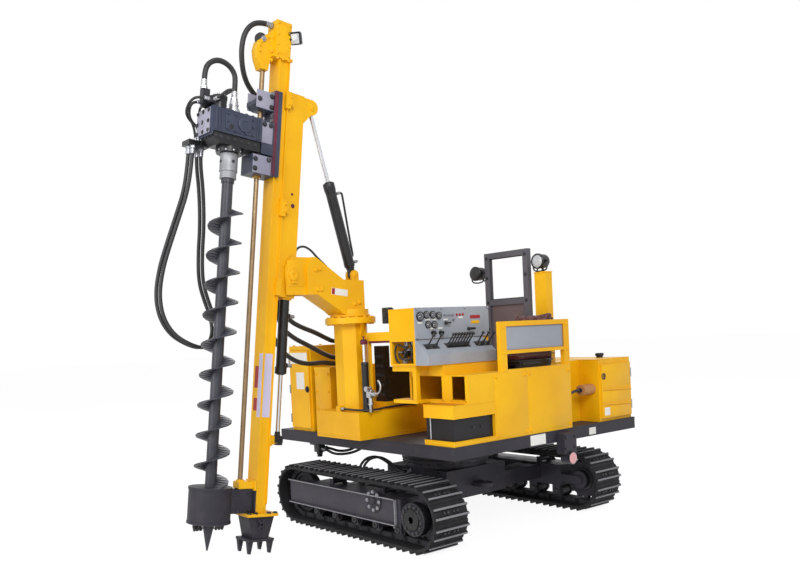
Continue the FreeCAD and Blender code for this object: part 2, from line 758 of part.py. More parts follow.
def make_boom_head():
    half = HEAD_WIDTH / 2
    base = rod(HEAD_BASE_R, V(POST_X, BOOM_Y, HEAD_LOW), V(POST_X, BOOM_Y, HEAD_LOW + 60))
    profile = [(POST_X - HEAD_BACK, HEAD_LOW + 24), (POST_X + 128, HEAD_LOW + 24), (POST_X + 175, HEAD_LOW + 60),
               (PIVOT_X - 190, PIVOT_Z - 138), (PIVOT_X - 106, PIVOT_Z - 138),
               (PIVOT_X - 106, PIVOT_Z + 56), (PIVOT_X - 152, PIVOT_Z + 128), (PIVOT_X - 190, PIVOT_Z + 128),
               (POST_X + 120, TILT_BASE_Z - 42), (POST_X - HEAD_BACK, TILT_BASE_Z - 48)]
    neck = side_prism(profile, BOOM_Y - half, BOOM_Y + half)
    pieces = [base, neck]
    inner = CRADLE_WIDTH / 2 + 8
    for sign in (-1, 1):
        y0, y1 = sorted((BOOM_Y + sign * inner, BOOM_Y + sign * (inner + CHEEK_THICK)))
        cheek = [(PIVOT_X - 150, PIVOT_Z - 138), (PIVOT_X + 62, PIVOT_Z - 138),
                 (PIVOT_X + 62, PIVOT_Z + 56), (PIVOT_X + 8, PIVOT_Z + 128), (PIVOT_X - 150, PIVOT_Z + 128)]
        pieces.append(side_prism(cheek, y0, y1))
        y0, y1 = sorted((BOOM_Y + sign * (EYE_THICK / 2 + 4), BOOM_Y + sign * (EYE_THICK / 2 + 4 + LUG_THICK)))
        lug = box(TILT_BASE_X - TILT_LUG_R, TILT_BASE_X + TILT_LUG_R, y0, y1, TILT_BASE_Z - 100, TILT_BASE_Z)
        tip = rod(TILT_LUG_R, V(TILT_BASE_X, y0, TILT_BASE_Z), V(TILT_BASE_X, y1, TILT_BASE_Z))
        pieces += [lug, tip]
    pieces.append(box(*HEAD_BLOCK_X, *HEAD_BLOCK_Y, *HEAD_BLOCK_Z))
    rear = POST_X - HEAD_BACK
    rear_block = [(rear + 25, -145), (rear - 15, -290), (rear - 150, -195), (rear - 128, -150), (rear + 6, -135)]
    pieces.append(plan_prism(rear_block, *REAR_BLOCK_Z))
    body = join(pieces)
    pin_hole = rod(TILT_PIN_R + ROD_FIT, V(PIVOT_X, BOOM_Y - 200, PIVOT_Z), V(PIVOT_X, BOOM_Y + 200, PIVOT_Z))
    base_hole = rod(TILT_LUG_PIN_R + ROD_FIT, V(TILT_BASE_X, BOOM_Y - 200, TILT_BASE_Z),
                    V(TILT_BASE_X, BOOM_Y + 200, TILT_BASE_Z))
    return body.cut(pin_hole).cut(base_hole)


save("boom_head", make_boom_head())

# ------------------------------------------------------------------ cradle
MAST_FRONT = MAST_BACK + MAST_DEPTH
CRADLE_FRONT = MAST_BACK - SLIDE_GAP


def guide_pair(face, sign, low, high, side_gap):
    """C-shaped guide around the mast's side rails. sign +1 reaches forward from face, -1 back."""
    pieces = []
    outer = MAST_WIDTH / 2 + RAIL_REACH + side_gap
    lip = MAST_WIDTH / 2 + side_gap
    for side in (-1, 1):
        y0, y1 = sorted((side * outer, side * (outer + GUIDE_THICK)))
        span = RAIL_THICK + 2 * SLIDE_GAP + GUIDE_THICK
        d0, d1 = sorted((face - sign * 14.0, face + sign * span))
        pieces.append(box(d0, d1, y0, y1, low, high))
        d0, d1 = sorted((face + sign * (RAIL_THICK + 2 * SLIDE_GAP), face + sign * span))
        y0, y1 = sorted((side * lip, side * (outer + GUIDE_THICK)))
        pieces.append(box(d0, d1, y0, y1, low, high))
        d0, d1 = sorted((face - sign * 14.0, face))
        y0, y1 = sorted((side * (CRADLE_WIDTH / 2 - 10), side * (outer + GUIDE_THICK)))
        pieces.append(box(d0, d1, y0, y1, low, high))
    return pieces


def make_cradle():
    half = CRADLE_WIDTH / 2
    outer = box(CRADLE_BACK, CRADLE_FRONT, -half, half, CRADLE_LOW, CRADLE_HIGH)
    wall = CRADLE_WALL
    inner = box(CRADLE_BACK + wall, CRADLE_FRONT - wall, -half + wall, half - wall,
                CRADLE_LOW + wall, CRADLE_HIGH - wall)
    pieces = [outer.cut(inner)]
    for low in (CRADLE_LOW + 4, CRADLE_LOW + 560, CRADLE_HIGH - GUIDE_LENGTH - 10):
        pieces += guide_pair(CRADLE_FRONT, 1, low, low + GUIDE_LENGTH, 1.0)
    gap = EYE_THICK / 2 + 6
    for side in (-1, 1):
        y0, y1 = sorted((side * gap, side * (gap + EAR_THICK)))
        profile = [(EAR_D, EAR_S - EAR_R), (CRADLE_BACK + 4, EAR_S - 150),
                   (CRADLE_BACK + 4, CRADLE_HIGH), (EAR_D, EAR_S + EAR_R)]
        pieces.append(side_prism(profile, y0, y1))
        pieces.append(rod(EAR_R, V(EAR_D, y0, EAR_S), V(EAR_D, y1, EAR_S)))
    pieces.append(rod(46, V(0, -half - 4, 0), V(0, half + 4, 0)))
    lug = SLIDE_BARREL_R
    pieces.append(box(SLIDE_CYL_D - lug, SLIDE_CYL_D + lug, -lug, lug, CRADLE_LOW - 14, CRADLE_LOW))
    body = join(pieces)
    hole = rod(TILT_PIN_R + ROD_FIT, V(0, -half - 20, 0), V(0, half + 20, 0))
    return on_mast(body.cut(hole))


save("mast_cradle", make_cradle())


def make_tilt_pin():
    reach = CRADLE_WIDTH / 2 + 8 + CHEEK_THICK
    pin = rod(TILT_PIN_R, V(PIVOT_X, BOOM_Y - reach, PIVOT_Z), V(PIVOT_X, BOOM_Y + reach, PIVOT_Z))
    heads = []
    for side in (-1, 1):
        start = BOOM_Y + side * reach
        heads.append(rod(TILT_PIN_R + 16, V(PIVOT_X, start, PIVOT_Z), V(PIVOT_X, start + side * 12, PIVOT_Z)))
    return join(pin, heads)


# ------------------------------------------------------------------ tilt cylinder
EAR_POINT = mast_point(EAR_D, 0, EAR_S)
BASE_POINT = V(TILT_BASE_X, BOOM_Y, TILT_BASE_Z)
TILT_AXIS = EAR_POINT.sub(BASE_POINT)
TILT_LENGTH = TILT_AXIS.Length
TILT_ANGLE = math.degrees(math.atan2(TILT_AXIS.x, TILT_AXIS.z))


def on_cylinder(shape):
    placed = shape.copy()
    placed.rotate(V(0, 0, 0), V(0, 1, 0), TILT_ANGLE)
    placed.translate(BASE_POINT)
    return placed


def make_tilt_barrel():
    bore = TILT_ROD_R + ROD_FIT
    barrel = rod(TILT_BARREL_R, V(0, 0, 46), V(0, 0, TILT_BARREL_LENGTH))
    gland = rod(TILT_BARREL_R + 6, V(0, 0, TILT_BARREL_LENGTH - 52), V(0, 0, TILT_BARREL_LENGTH))
    neck = box(-24, 24, -EYE_THICK / 2, EYE_THICK / 2, 0, 60)
    eye = rod(30, V(0, -EYE_THICK / 2, 0), V(0, EYE_THICK / 2, 0))
    body = join(barrel, gland, neck, eye)
    body = body.cut(rod(bore, V(0, 0, 80), V(0, 0, TILT_BARREL_LENGTH + 1)))
    body = body.cut(rod(TILT_LUG_PIN_R + ROD_FIT, V(0, -40, 0), V(0, 40, 0)))
    return on_cylinder(body)


def make_tilt_rod():
    low = TILT_LENGTH - TILT_ROD_LENGTH
    shaft = rod(TILT_ROD_R, V(0, 0, low), V(0, 0, TILT_LENGTH - 10))
    eye = rod(EYE_R, V(0, -EYE_THICK / 2, TILT_LENGTH), V(0, EYE_THICK / 2, TILT_LENGTH))
    return on_cylinder(join(shaft, eye))


save("tilt_cylinder_barrel", make_tilt_barrel())
save("tilt_cylinder_rod", make_tilt_rod())
base_reach = EYE_THICK / 2 + 4 + LUG_THICK
save("boom_pins", make_tilt_pin(), rod(TILT_LUG_PIN_R, V(TILT_BASE_X, BOOM_Y - base_reach, TILT_BASE_Z),
                                       V(TILT_BASE_X, BOOM_Y + base_reach, TILT_BASE_Z)))

# ------------------------------------------------------------------ mast slide cylinder
BARREL_TOP = CRADLE_LOW - 14


def make_slide_barrel():
    low = BARREL_TOP - SLIDE_BARREL_LENGTH
    barrel = rod(SLIDE_BARREL_R, V(SLIDE_CYL_D, 0, low), V(SLIDE_CYL_D, 0, BARREL_TOP))
    gland = rod(SLIDE_BARREL_R + 6, V(SLIDE_CYL_D, 0, low), V(SLIDE_CYL_D, 0, low + 50))
    body = join(barrel, gland)
    bore = rod(SLIDE_ROD_R + ROD_FIT, V(SLIDE_CYL_D, 0, low - 1), V(SLIDE_CYL_D, 0, BARREL_TOP - 14))
    return on_mast(body.cut(bore))


save("mast_slide_barrel", make_slide_barrel())


def boat_bracket():
    """Boat-shaped bracket that carries the top of the guide bar."""
    low = BOAT_LOW
    front = BAR_D + BOAT_REACH
    flange = HEAD_BOX_FRONT + TOP_FLANGE_REACH
    profile = [(HEAD_BOX_FRONT - 1, HEAD_BOX_LOW), (HEAD_BOX_FRONT - 1, low + 308), (front - 14, low + 190),
               (front, low + 130), (front - 10, low + 70), (BAR_D + 2 * BAR_R, low), (BAR_D - 1.5 * BAR_R, low),
               (flange, HEAD_BOX_LOW - TOP_FLANGE - 6), (flange, HEAD_BOX_LOW)]
    body = side_prism(profile, -BOAT_HALF, BOAT_HALF)
    pocket = [(flange + 8, low + 240), (front - 34, low + 175), (front - 26, low + 125),
              (BAR_D + 20, low + 42), (BAR_D - 8, low + 42), (flange + 8, low + 124)]
    for side in (-1, 1):
        y0, y1 = ordered(side * (BOAT_HALF - 8), side * (BOAT_HALF + 1))
        body = body.cut(side_prism(pocket, y0, y1))
    return body


def make_mast():
    half = MAST_WIDTH / 2
    outer = box(MAST_BACK, MAST_FRONT, -half, half, MAST_LOW, MAST_HIGH)
    wall = MAST_WALL
    inner = box(MAST_BACK + wall, MAST_FRONT - wall, -half + wall, half - wall,
                MAST_LOW + 30, MAST_HIGH - 10)
    pieces = [outer.cut(inner)]
    reach = half + RAIL_REACH
    for d0, d1 in ((MAST_BACK, MAST_BACK + RAIL_THICK), (MAST_FRONT - RAIL_THICK, MAST_FRONT)):
        pieces.append(box(d0, d1, -reach, reach, MAST_LOW + 60, HEAD_BOX_LOW - 20))
    top = box(HEAD_BOX_BACK, HEAD_BOX_FRONT, -HEAD_BOX_WIDTH / 2, HEAD_BOX_WIDTH / 2, HEAD_BOX_LOW, MAST_HIGH)
    pieces.append(top)
    edge = HEAD_BOX_WIDTH / 2 + TOP_FLANGE_REACH / 2
    pieces.append(box(HEAD_BOX_BACK - TOP_FLANGE_REACH / 2, HEAD_BOX_FRONT + TOP_FLANGE_REACH, -edge, edge,
                      HEAD_BOX_LOW - TOP_FLANGE, HEAD_BOX_LOW))
    middle = (MAST_BACK + MAST_FRONT) / 2
    pieces.append(box(middle - FOOT_HALF_D, middle + FOOT_HALF_D, -FOOT_HALF_Y, FOOT_HALF_Y,
                      MAST_LOW - FOOT_PLATE, MAST_LOW))
    ear = side_prism([(MAST_BACK + 2, SLIDE_EAR_S - 70), (MAST_BACK + 2, SLIDE_EAR_S + 40),
                      (SLIDE_CYL_D + 30, SLIDE_EAR_S + 18), (SLIDE_CYL_D - 30, SLIDE_EAR_S + 18),
                      (SLIDE_CYL_D - 30, SLIDE_EAR_S - 22), (SLIDE_CYL_D + 30, SLIDE_EAR_S - 30)], -22, 22)
    pieces += [ear, boat_bracket(), box(*PEG_D, *PEG_Y, *PEG_S)]
    return on_mast(join(pieces))


save("mast", make_mast())


def make_slide_rod():
    low = SLIDE_EAR_S + 18
    high = BARREL_TOP - 16 - SLIDE_UP
    return on_mast(rod(SLIDE_ROD_R, V(SLIDE_CYL_D, 0, low), V(SLIDE_CYL_D, 0, high)))


save("mast_slide_rod", make_slide_rod())


def make_foot():
    middle = (MAST_BACK + MAST_FRONT) / 2
    top = MAST_LOW - FOOT_PLATE
    low = top - CLAW_BODY
    wide = FOOT_HALF_D - 20
    body = side_prism([(middle - wide, top), (middle + wide, top), (middle + wide * 0.62, low),
                       (middle - wide * 0.62, low)], -70, 70)
    plate = box(middle - wide, middle + wide, -84, 84, low - 18, low)
    claws = []
    for d in (middle - wide + 22, middle + wide - 22):
        for y in (-62, 62):
            claw = side_prism([(d - 22, low - 14), (d + 22, low - 14), (d + 6, CLAW_TIP_S),
                               (d - 6, CLAW_TIP_S)], y - 14, y + 14)
            claws.append(claw)
    return on_mast(join(body, plate, claws))


save("mast_foot", make_foot())


def make_guide_bar():
    return on_mast(rod(BAR_R, V(BAR_D, 0, BAR_LOW), V(BAR_D, 0, BOAT_LOW)))


save("guide_bar", make_guide_bar())


def make_auger_guide():
    sleeve = tube(SLEEVE_OUTER, SLEEVE_INNER, V(AUGER_D, 0, SLEEVE_LOW), V(AUGER_D, 0, SLEEVE_HIGH))
    near = AUGER_D - SLEEVE_OUTER + 8
    pieces = [sleeve]
    for side in (-1, 1):
        y0, y1 = sorted((side * 26.0, side * 40.0))
        pieces.append(box(MAST_FRONT, near, y0, y1, SLEEVE_LOW + 50, SLEEVE_HIGH - 20))
    pieces.append(box(MAST_FRONT, BAR_D + 24, -40, 40, BAR_LOW - 45, BAR_LOW))
    pieces.append(box(MAST_FRONT, MAST_FRONT + 14, -60, 60, MAST_LOW, BAR_LOW))
    return on_mast(join(pieces))


save("auger_guide", make_auger_guide())

# ------------------------------------------------------------------ carriage and drilling head


def make_carriage():
    face = MAST_FRONT + SLIDE_GAP
    front = face + CARRIAGE_PLATE
    half = CARRIAGE_WIDTH / 2
    plate = box(face, front, -half, half, CARRIAGE_LOW, CARRIAGE_HIGH)
    pieces = [plate]
    inner = half - CARRIAGE_WALL
    for side in (-1, 1):
        y0, y1 = ordered(side * inner, side * half)
        pieces.append(box(face - 30, face + 10, y0, y1, CARRIAGE_LOW, CARRIAGE_HIGH))
    d1 = MAST_FRONT - RAIL_THICK - SLIDE_GAP
    for low in (CARRIAGE_LOW, CARRIAGE_HIGH - GUIDE_LENGTH):
        high = low + GUIDE_LENGTH
        for side in (-1, 1):
            y0, y1 = ordered(side * (MAST_WIDTH / 2 + RAIL_REACH + 1), side * (half - 2))
            pieces.append(box(d1 - 14, face + 6, y0, y1, low, high))
            y0, y1 = ordered(side * (MAST_WIDTH / 2 + 1), side * (half - 2))
            pieces.append(box(d1 - 14, d1, y0, y1, low, high))
    pieces.append(box(face + 10, BRACKET_LOW_REACH, -half + 16, half - 2, CARRIAGE_LOW - 6,
                      CARRIAGE_LOW - 6 + BRACKET_LOW_HEIGHT))
    lobe = [(face + 10, BRACKET_TOP_HIGH), (BAR_D - 10, BRACKET_TOP_HIGH - 8), (BAR_D + 30, BRACKET_TOP_HIGH - 55),
            (BRACKET_TOP_REACH, BRACKET_TOP_HIGH - 75), (BRACKET_TOP_REACH, BRACKET_TOP_HIGH - 105),
            (BAR_D + 30, BRACKET_TOP_LOW), (face + 10, BRACKET_TOP_LOW)]
    pieces.append(side_prism(lobe, -half + 22, half - 22))
    for side in (-1, 1):
        y0, y1 = ordered(side * (half - 16), side * half)
        pieces.append(box(face + 10, GEAR_BACK, y0, y1, GEAR_LOW, GEAR_HIGH))
        pieces.append(box(face + 10, GEAR_BACK - 10, y0, y1, BASE_LOW, GEAR_LOW + 1))
    body = join(pieces)
    bore = rod(BAR_R + ROD_FIT, V(BAR_D, 0, CARRIAGE_LOW - 10), V(BAR_D, 0, CARRIAGE_HIGH + 5))
    return on_mast(body.cut(bore))


save("feed_carriage", make_carriage())


def make_gearbox():
    half = GEAR_WIDTH / 2
    body = box(GEAR_BACK, GEAR_FRONT, -half, half, GEAR_LOW, GEAR_HIGH)
    swivel = rod(SWIVEL_R, V(SWIVEL_D, 0, GEAR_HIGH - 5), V(SWIVEL_D, 0, GEAR_HIGH + SWIVEL))
    plate = side_prism([(GEAR_FRONT - 2, GEAR_LOW - 26), (GEAR_FRONT + 4, GEAR_LOW - 26),
                        (GEAR_FRONT + END_PLATE, GEAR_LOW + 20), (GEAR_FRONT + END_PLATE, GEAR_HIGH - 12),
                        (GEAR_FRONT + 8, GEAR_HIGH + 4), (GEAR_FRONT - 2, GEAR_HIGH + 4)], -half + 4, half - 4)
    return on_mast(join(body, swivel, plate))


save("drill_head_gearbox", make_gearbox())


def make_head_base():
    """Lower housing with the spindle's nose and the block that the long hoses leave from."""
    gap = SLIDE_GAP
    profile = [(GEAR_BACK + 4, GEAR_LOW - gap), (GEAR_BACK + 4, BASE_LOW), (BASE_FRONT - 50, BASE_LOW),
               (BASE_FRONT, BASE_LOW + 34), (BASE_FRONT, GEAR_LOW - gap)]
    body = side_prism(profile, -BASE_HALF, BASE_HALF)
    nose = rod(NOSE_R, V(AUGER_D, 0, BASE_LOW - NOSE), V(AUGER_D, 0, BASE_LOW + 5))
    block = box(*MANIFOLD_D, *MANIFOLD_Y, BASE_LOW, BASE_LOW + MANIFOLD)
    arm = box(MANIFOLD_D[0], BASE_FRONT, MANIFOLD_Y[0] + 20, -BASE_HALF + 10, BASE_LOW + 2, BASE_LOW + MANIFOLD - 2)
    return on_mast(join(body, nose, block, arm))


save("drill_head_base", make_head_base())


def make_motors():
    low = GEAR_HIGH + PORT_LOW
    reach = MOTOR_Y + PORT_HALF
    pieces = [box(MOTOR_D + 20, MOTOR_D + 76, -reach, reach, low, GEAR_HIGH + PORT_HIGH)]
    for y in (-MOTOR_Y, MOTOR_Y):
        pieces.append(rod(MOTOR_R, V(MOTOR_D, y, GEAR_HIGH), V(MOTOR_D, y, GEAR_HIGH + MOTOR_HEIGHT)))
    pieces.append(box(MOTOR_D + 60, MOTOR_D + 110, -PORT_HALF, PORT_HALF, low, GEAR_HIGH + FITTING_HEIGHT))
    return on_mast(join(pieces))


save("drill_head_motors", make_motors())


def flight(radius_in, radius_out, pitch, thick, low, high, steps):
    count = int(round(steps * (high - low) / pitch))
    rings = []
    for index in range(count + 1):
        z = low + (high - low) * index / count
        angle = 2 * math.pi * (z - low) / pitch
        cosine = math.cos(angle)
        sine = math.sin(angle)
        ring = []
        for radius, lift in ((radius_in, 0), (radius_out, 0), (radius_out, thick), (radius_in, thick)):
            ring.append(V(radius * cosine, radius * sine, z + lift))
        rings.append(ring)
    faces = []

    def triangle(a, b, c):
        faces.append(Part.Face(Part.makePolygon([a, b, c, a])))

    for one, two in zip(rings, rings[1:]):
        for k in range(4):
            a, b, c, d = one[k], one[(k + 1) % 4], two[(k + 1) % 4], two[k]
            triangle(a, b, c)
            triangle(a, c, d)
    for end in (rings[0], rings[-1]):
        triangle(end[0], end[1], end[2])
        triangle(end[0], end[2], end[3])
    solid = Part.Solid(Part.makeShell(faces))
    if solid.Volume < 0:
        solid.reverse()
    return solid


def make_auger():
    top = BASE_LOW - NOSE - BEARING_GAP
    shaft = Part.makeCylinder(AUGER_SHAFT_R, top - 110 - AUGER_FLIGHT_LOW, V(0, 0, AUGER_FLIGHT_LOW))
    coupling = Part.makeCylinder(COUPLING_R, 120, V(0, 0, top - 120))
    point = Part.makeCone(5, AUGER_SHAFT_R, AUGER_FLIGHT_LOW - AUGER_TIP_S, V(0, 0, AUGER_TIP_S))
    spiral = flight(AUGER_SHAFT_R - 8, AUGER_FLIGHT_R, AUGER_PITCH, AUGER_FLIGHT_THICK,
                    AUGER_FLIGHT_LOW, AUGER_FLIGHT_TOP, AUGER_STEPS)
    body = shaft.fuse([coupling, point]).removeSplitter().fuse(spiral)
    body.translate(V(AUGER_D, 0, 0))
    return on_mast(body)


save("auger", make_auger())

# ------------------------------------------------------------------ right-hand housings


def door_frame(low, high):
    """Door opening between two edges of a housing, and the door's reach over its rim."""
    return (low + DOOR_SIDE, high - DOOR_SIDE), (low + DOOR_SIDE - DOOR_LAP, high - DOOR_SIDE + DOOR_LAP)


def door_heights(top):
    low, high = DECK_TOP + DOOR_FOOT, top - DOOR_HEAD
    return (low, high), (low - DOOR_LAP, high + DOOR_LAP)


FRONT_DOOR_Y, FRONT_LEAF_Y = door_frame(*FRONT_CAB_Y)
FRONT_DOOR_Z, FRONT_LEAF_Z = door_heights(FRONT_CAB_TOP)
FRONT_LEAF_X = (FRONT_CAB_X[1] + DOOR_GAP, FRONT_CAB_X[1] + DOOR_GAP + DOOR_THICK)
shell = hollow(*FRONT_CAB_X, *FRONT_CAB_Y, DECK_TOP, FRONT_CAB_TOP)
save("front_cabinet", shell.cut(box(FRONT_CAB_X[1] - 10, FRONT_CAB_X[1] + 1, *FRONT_DOOR_Y, *FRONT_DOOR_Z)))
save("front_cabinet_door", box(*FRONT_LEAF_X, *FRONT_LEAF_Y, *FRONT_LEAF_Z))
save("low_cabinet", hollow(*LOW_CAB_X, *LOW_CAB_Y, DECK_TOP, LOW_CAB_TOP))


def make_tank():
    x = TANK_X[0] + 0.355 * (TANK_X[1] - TANK_X[0])
    y = TANK_Y[0] + 0.505 * (TANK_Y[1] - TANK_Y[0])
    cap = rod(TANK_CAP_R, V(x, y, TANK_TOP - SHEET), V(x, y, TANK_TOP + TANK_CAP))
    return join(hollow(*TANK_X, *TANK_Y, DECK_TOP, TANK_TOP), cap)


save("hydraulic_tank", make_tank())
save("centre_cover", hollow(*COVER_X, *COVER_Y, DECK_TOP, COVER_TOP))

# ------------------------------------------------------------------ engine and hood
HOOD_DOOR_Z = (DECK_TOP + HOOD_SILL, HOOD_TOP - HOOD_SILL)
HOOD_LEAF_Z = (HOOD_DOOR_Z[0] - DOOR_LAP, HOOD_DOOR_Z[1] + DOOR_LAP)
HOOD_DOOR_X = (HOOD_X[0] + HOOD_SIDE_MARGIN[0], HOOD_X[1] - HOOD_SIDE_MARGIN[1])


def make_hood():
    shell = hollow(*HOOD_X, *HOOD_Y, DECK_TOP, HOOD_TOP)
    side = box(*HOOD_DOOR_X, HOOD_Y[0] - 10, HOOD_Y[0] + 30, *HOOD_DOOR_Z)
    rear = box(HOOD_X[0] - 10, HOOD_X[0] + 30, *RADIATOR_Y, *HOOD_DOOR_Z)
    return shell.cut(side).cut(rear)


save("engine_hood", make_hood())
save("hood_side_door", box(HOOD_DOOR_X[0] - DOOR_LAP, HOOD_DOOR_X[1] + DOOR_LAP,
                           HOOD_Y[0] - DOOR_GAP - DOOR_THICK, HOOD_Y[0] - DOOR_GAP, *HOOD_LEAF_Z))
save("hood_rear_door", box(HOOD_X[0] - DOOR_GAP - DOOR_THICK, HOOD_X[0] - DOOR_GAP,
                           RADIATOR_Y[0] - DOOR_LAP, RADIATOR_Y[1] + DOOR_LAP, *HOOD_LEAF_Z))
save("engine_block", box(HOOD_X[0] + ENGINE_INSET, HOOD_X[1] - ENGINE_INSET, HOOD_Y[0] + ENGINE_SIDE,
                         HOOD_Y[1] - ENGINE_SIDE, DECK_TOP, DECK_TOP + ENGINE_HEIGHT))

REAR_DOOR_X, REAR_LEAF_X = door_frame(*REAR_CAB_X)
REAR_DOOR_Z, REAR_LEAF_Z = door_heights(REAR_CAB_TOP)


def make_rear_cabinet():
    """Tall cabinet with the set-back bay that runs forward from it."""
    tall = box(*REAR_CAB_X, *REAR_CAB_Y, DECK_TOP, REAR_CAB_TOP)
    bay = box(REAR_CAB_X[1] - 1, RECESS_FRONT, REAR_CAB_Y[0], RECESS_Y, DECK_TOP, REAR_CAB_TOP)
    tall_room = box(REAR_CAB_X[0] + SHEET, REAR_CAB_X[1] - SHEET, REAR_CAB_Y[0] + SHEET, REAR_CAB_Y[1] - SHEET,
                    DECK_TOP - 1, REAR_CAB_TOP - SHEET)
    bay_room = box(REAR_CAB_X[1], RECESS_FRONT - SHEET, REAR_CAB_Y[0] + SHEET, RECESS_Y - SHEET,
                   DECK_TOP - 1, REAR_CAB_TOP - SHEET)
    hole = box(*REAR_DOOR_X, REAR_CAB_Y[1] - 20, REAR_CAB_Y[1] + 10, *REAR_DOOR_Z)
    return join(tall, bay).cut(tall_room).cut(bay_room).cut(hole)


save("rear_cabinet", make_rear_cabinet())
save("rear_cabinet_door", box(*REAR_LEAF_X, REAR_CAB_Y[1] + DOOR_GAP, REAR_CAB_Y[1] + DOOR_GAP + DOOR_THICK,
                              *REAR_LEAF_Z))
save("side_canister", rod(CANISTER_R, V(REAR_CAB_X[1], CANISTER_Y, CANISTER_Z),
                          V(REAR_CAB_X[1] + CANISTER_LENGTH, CANISTER_Y, CANISTER_Z)))

# ------------------------------------------------------------------ operator's side
NOTCH_X = STEP_X[0] - PANEL_GAP
RISER_FRONT = SHELF_FRONT - 10


def make_side_cabinet():
    x0, x1 = SIDE_CAB_X
    y0, y1 = SIDE_CAB_Y
    outer = box(x0, x1, y0, y1, DECK_TOP, SIDE_CAB_TOP)
    outer = outer.cut(box(NOTCH_X, x1 + 1, y0 - 1, y1 + 1, DECK_TOP - 1, LEDGE_TOP))
    room = box(x0 + SHEET, x1 - SHEET, y0 + SHEET, y1 - SHEET, DECK_TOP - 1, SIDE_CAB_TOP - SHEET)
    room = room.cut(box(NOTCH_X - SHEET, x1 + 1, y0 - 1, y1 + 1, DECK_TOP - 2, LEDGE_TOP + SHEET))
    riser = box(CONSOLE_X[0], x1, y0 + 1, RISER_FRONT, SIDE_CAB_TOP, CONSOLE_LOW)
    riser_room = box(CONSOLE_X[0] + SHEET, x1 - SHEET, y0 + 1 + SHEET, RISER_FRONT - SHEET,
                     SIDE_CAB_TOP - SHEET - 1, CONSOLE_LOW - SHEET)
    shell = join(outer, riser).cut(room).cut(riser_room)
    for low, high in SIDE_WINDOWS:
        shell = shell.cut(box(x1 - 20, x1 + 1, low, high, *SIDE_WINDOW_Z))
    return shell


save("side_cabinet", make_side_cabinet())


def make_bay():
    """Open bay of the hoses: a tray, a header under the console and one corner post between them."""
    x0, x1 = BAY_X
    y0, y1 = BAY_Y
    tray = box(x0, x1, y0, y1, LEDGE_TOP, LEDGE_TOP + BAY_FLOOR)
    post = box(x1 - BAY_PILLAR, x1, y1 - BAY_PILLAR, y1, LEDGE_TOP + BAY_FLOOR - 1,
               CONSOLE_LOW - BAY_HEADER + 1)
    header = box(x0, x1, y0, y1, CONSOLE_LOW - BAY_HEADER, CONSOLE_LOW)
    hollow = box(x0 + BAY_RAIL, x1 - BAY_RAIL, y0 + BAY_RAIL, y1 - BAY_RAIL, CONSOLE_LOW - BAY_HEADER - 1,
                 CONSOLE_LOW - SHEET)
    return join(tray, post, header.cut(hollow))


save("hose_bay", make_bay())
save("step_box", box(*STEP_X, STEP_REAR_Y, SIDE_CAB_Y[1], DECK_TOP, DECK_TOP + STEP_BASE),
     box(*STEP_X, STEP_REAR_Y, SIDE_CAB_Y[1], LEDGE_TOP - LEDGE, LEDGE_TOP))
save("recess_panel", box(STEP_X[0], STEP_X[1] - RECESS_DEPTH, STEP_REAR_Y, SIDE_CAB_Y[1] - RECESS_DEPTH,
                         DECK_TOP + STEP_BASE, LEDGE_TOP - LEDGE))


def make_console():
    """Closed control box over a lower part whose front end is an open bay, with a thin brace to the post."""
    x0, x1 = CONSOLE_X
    y0, y1 = CONSOLE_Y
    outer = box(x0, x1, y0, y1, CONSOLE_LOW, CONSOLE_HIGH)
    room = box(x0 + SHEET, x1 - SHEET, y0 + SHEET, y1 - SHEET, CONSOLE_MIDDLE, CONSOLE_HIGH - SHEET)
    under = box(x0 + SHEET, CONSOLE_BACK - SHEET, y0 + SHEET, y1 - SHEET, CONSOLE_LOW + SHEET,
                CONSOLE_MIDDLE - SHEET)
    bay = box(CONSOLE_BACK, x1 + 1, y0 + CONSOLE_EDGE, y1 - CONSOLE_EDGE, CONSOLE_LOW + 13, CONSOLE_MIDDLE - 12)
    body = outer.cut(room).cut(under).cut(bay)
    brace_x = x1 - BRACE
    upright = box(brace_x - BRACE / 2, brace_x + BRACE / 2, BRACE_Y - BRACE / 2, BRACE_Y + BRACE / 2,
                  PLINTH_TOP, CONSOLE_MIDDLE + 2)
    beam = box(brace_x - BRACE, brace_x + BRACE, BRACE_Y - BRACE / 2, y0 + 1, CONSOLE_MIDDLE,
               CONSOLE_MIDDLE + BRACE_BEAM)
    return join(body, upright, beam)


save("console", make_console())
save("gauge_panel", box(*CONSOLE_X, CONSOLE_Y[1], CONSOLE_Y[1] + GAUGE_PLATE, CONSOLE_MIDDLE + 1, CONSOLE_HIGH))


def make_shelf():
    y0 = CONSOLE_Y[1]
    low = CONSOLE_LOW + 1
    profile = [(y0, low), (SHELF_FRONT, low), (SHELF_FRONT, SHELF_LOW), (y0, SHELF_HIGH)]
    body = cross_prism(profile, *SHELF_X)
    wall = [(y0 + SHEET, low + SHEET), (SHELF_FRONT - SHEET, low + SHEET), (SHELF_FRONT - SHEET, SHELF_LOW - 4),
            (y0 + SHEET, SHELF_HIGH - 2 * SHEET)]
    return body.cut(cross_prism(wall, SHELF_X[0] + SHEET, SHELF_X[1] - SHEET))


save("lever_shelf", make_shelf())


def lever_places():
    pair = [LEVER_PAIR_X - LEVER_PAIR_PITCH * k for k in range(2)]
    bank = [LEVER_BANK_X - LEVER_BANK_PITCH * k for k in range(LEVER_BANK_COUNT)]
    trio = [LEVER_TRIO_X - LEVER_TRIO_PITCH * k for k in range(3)]
    return pair + bank + trio


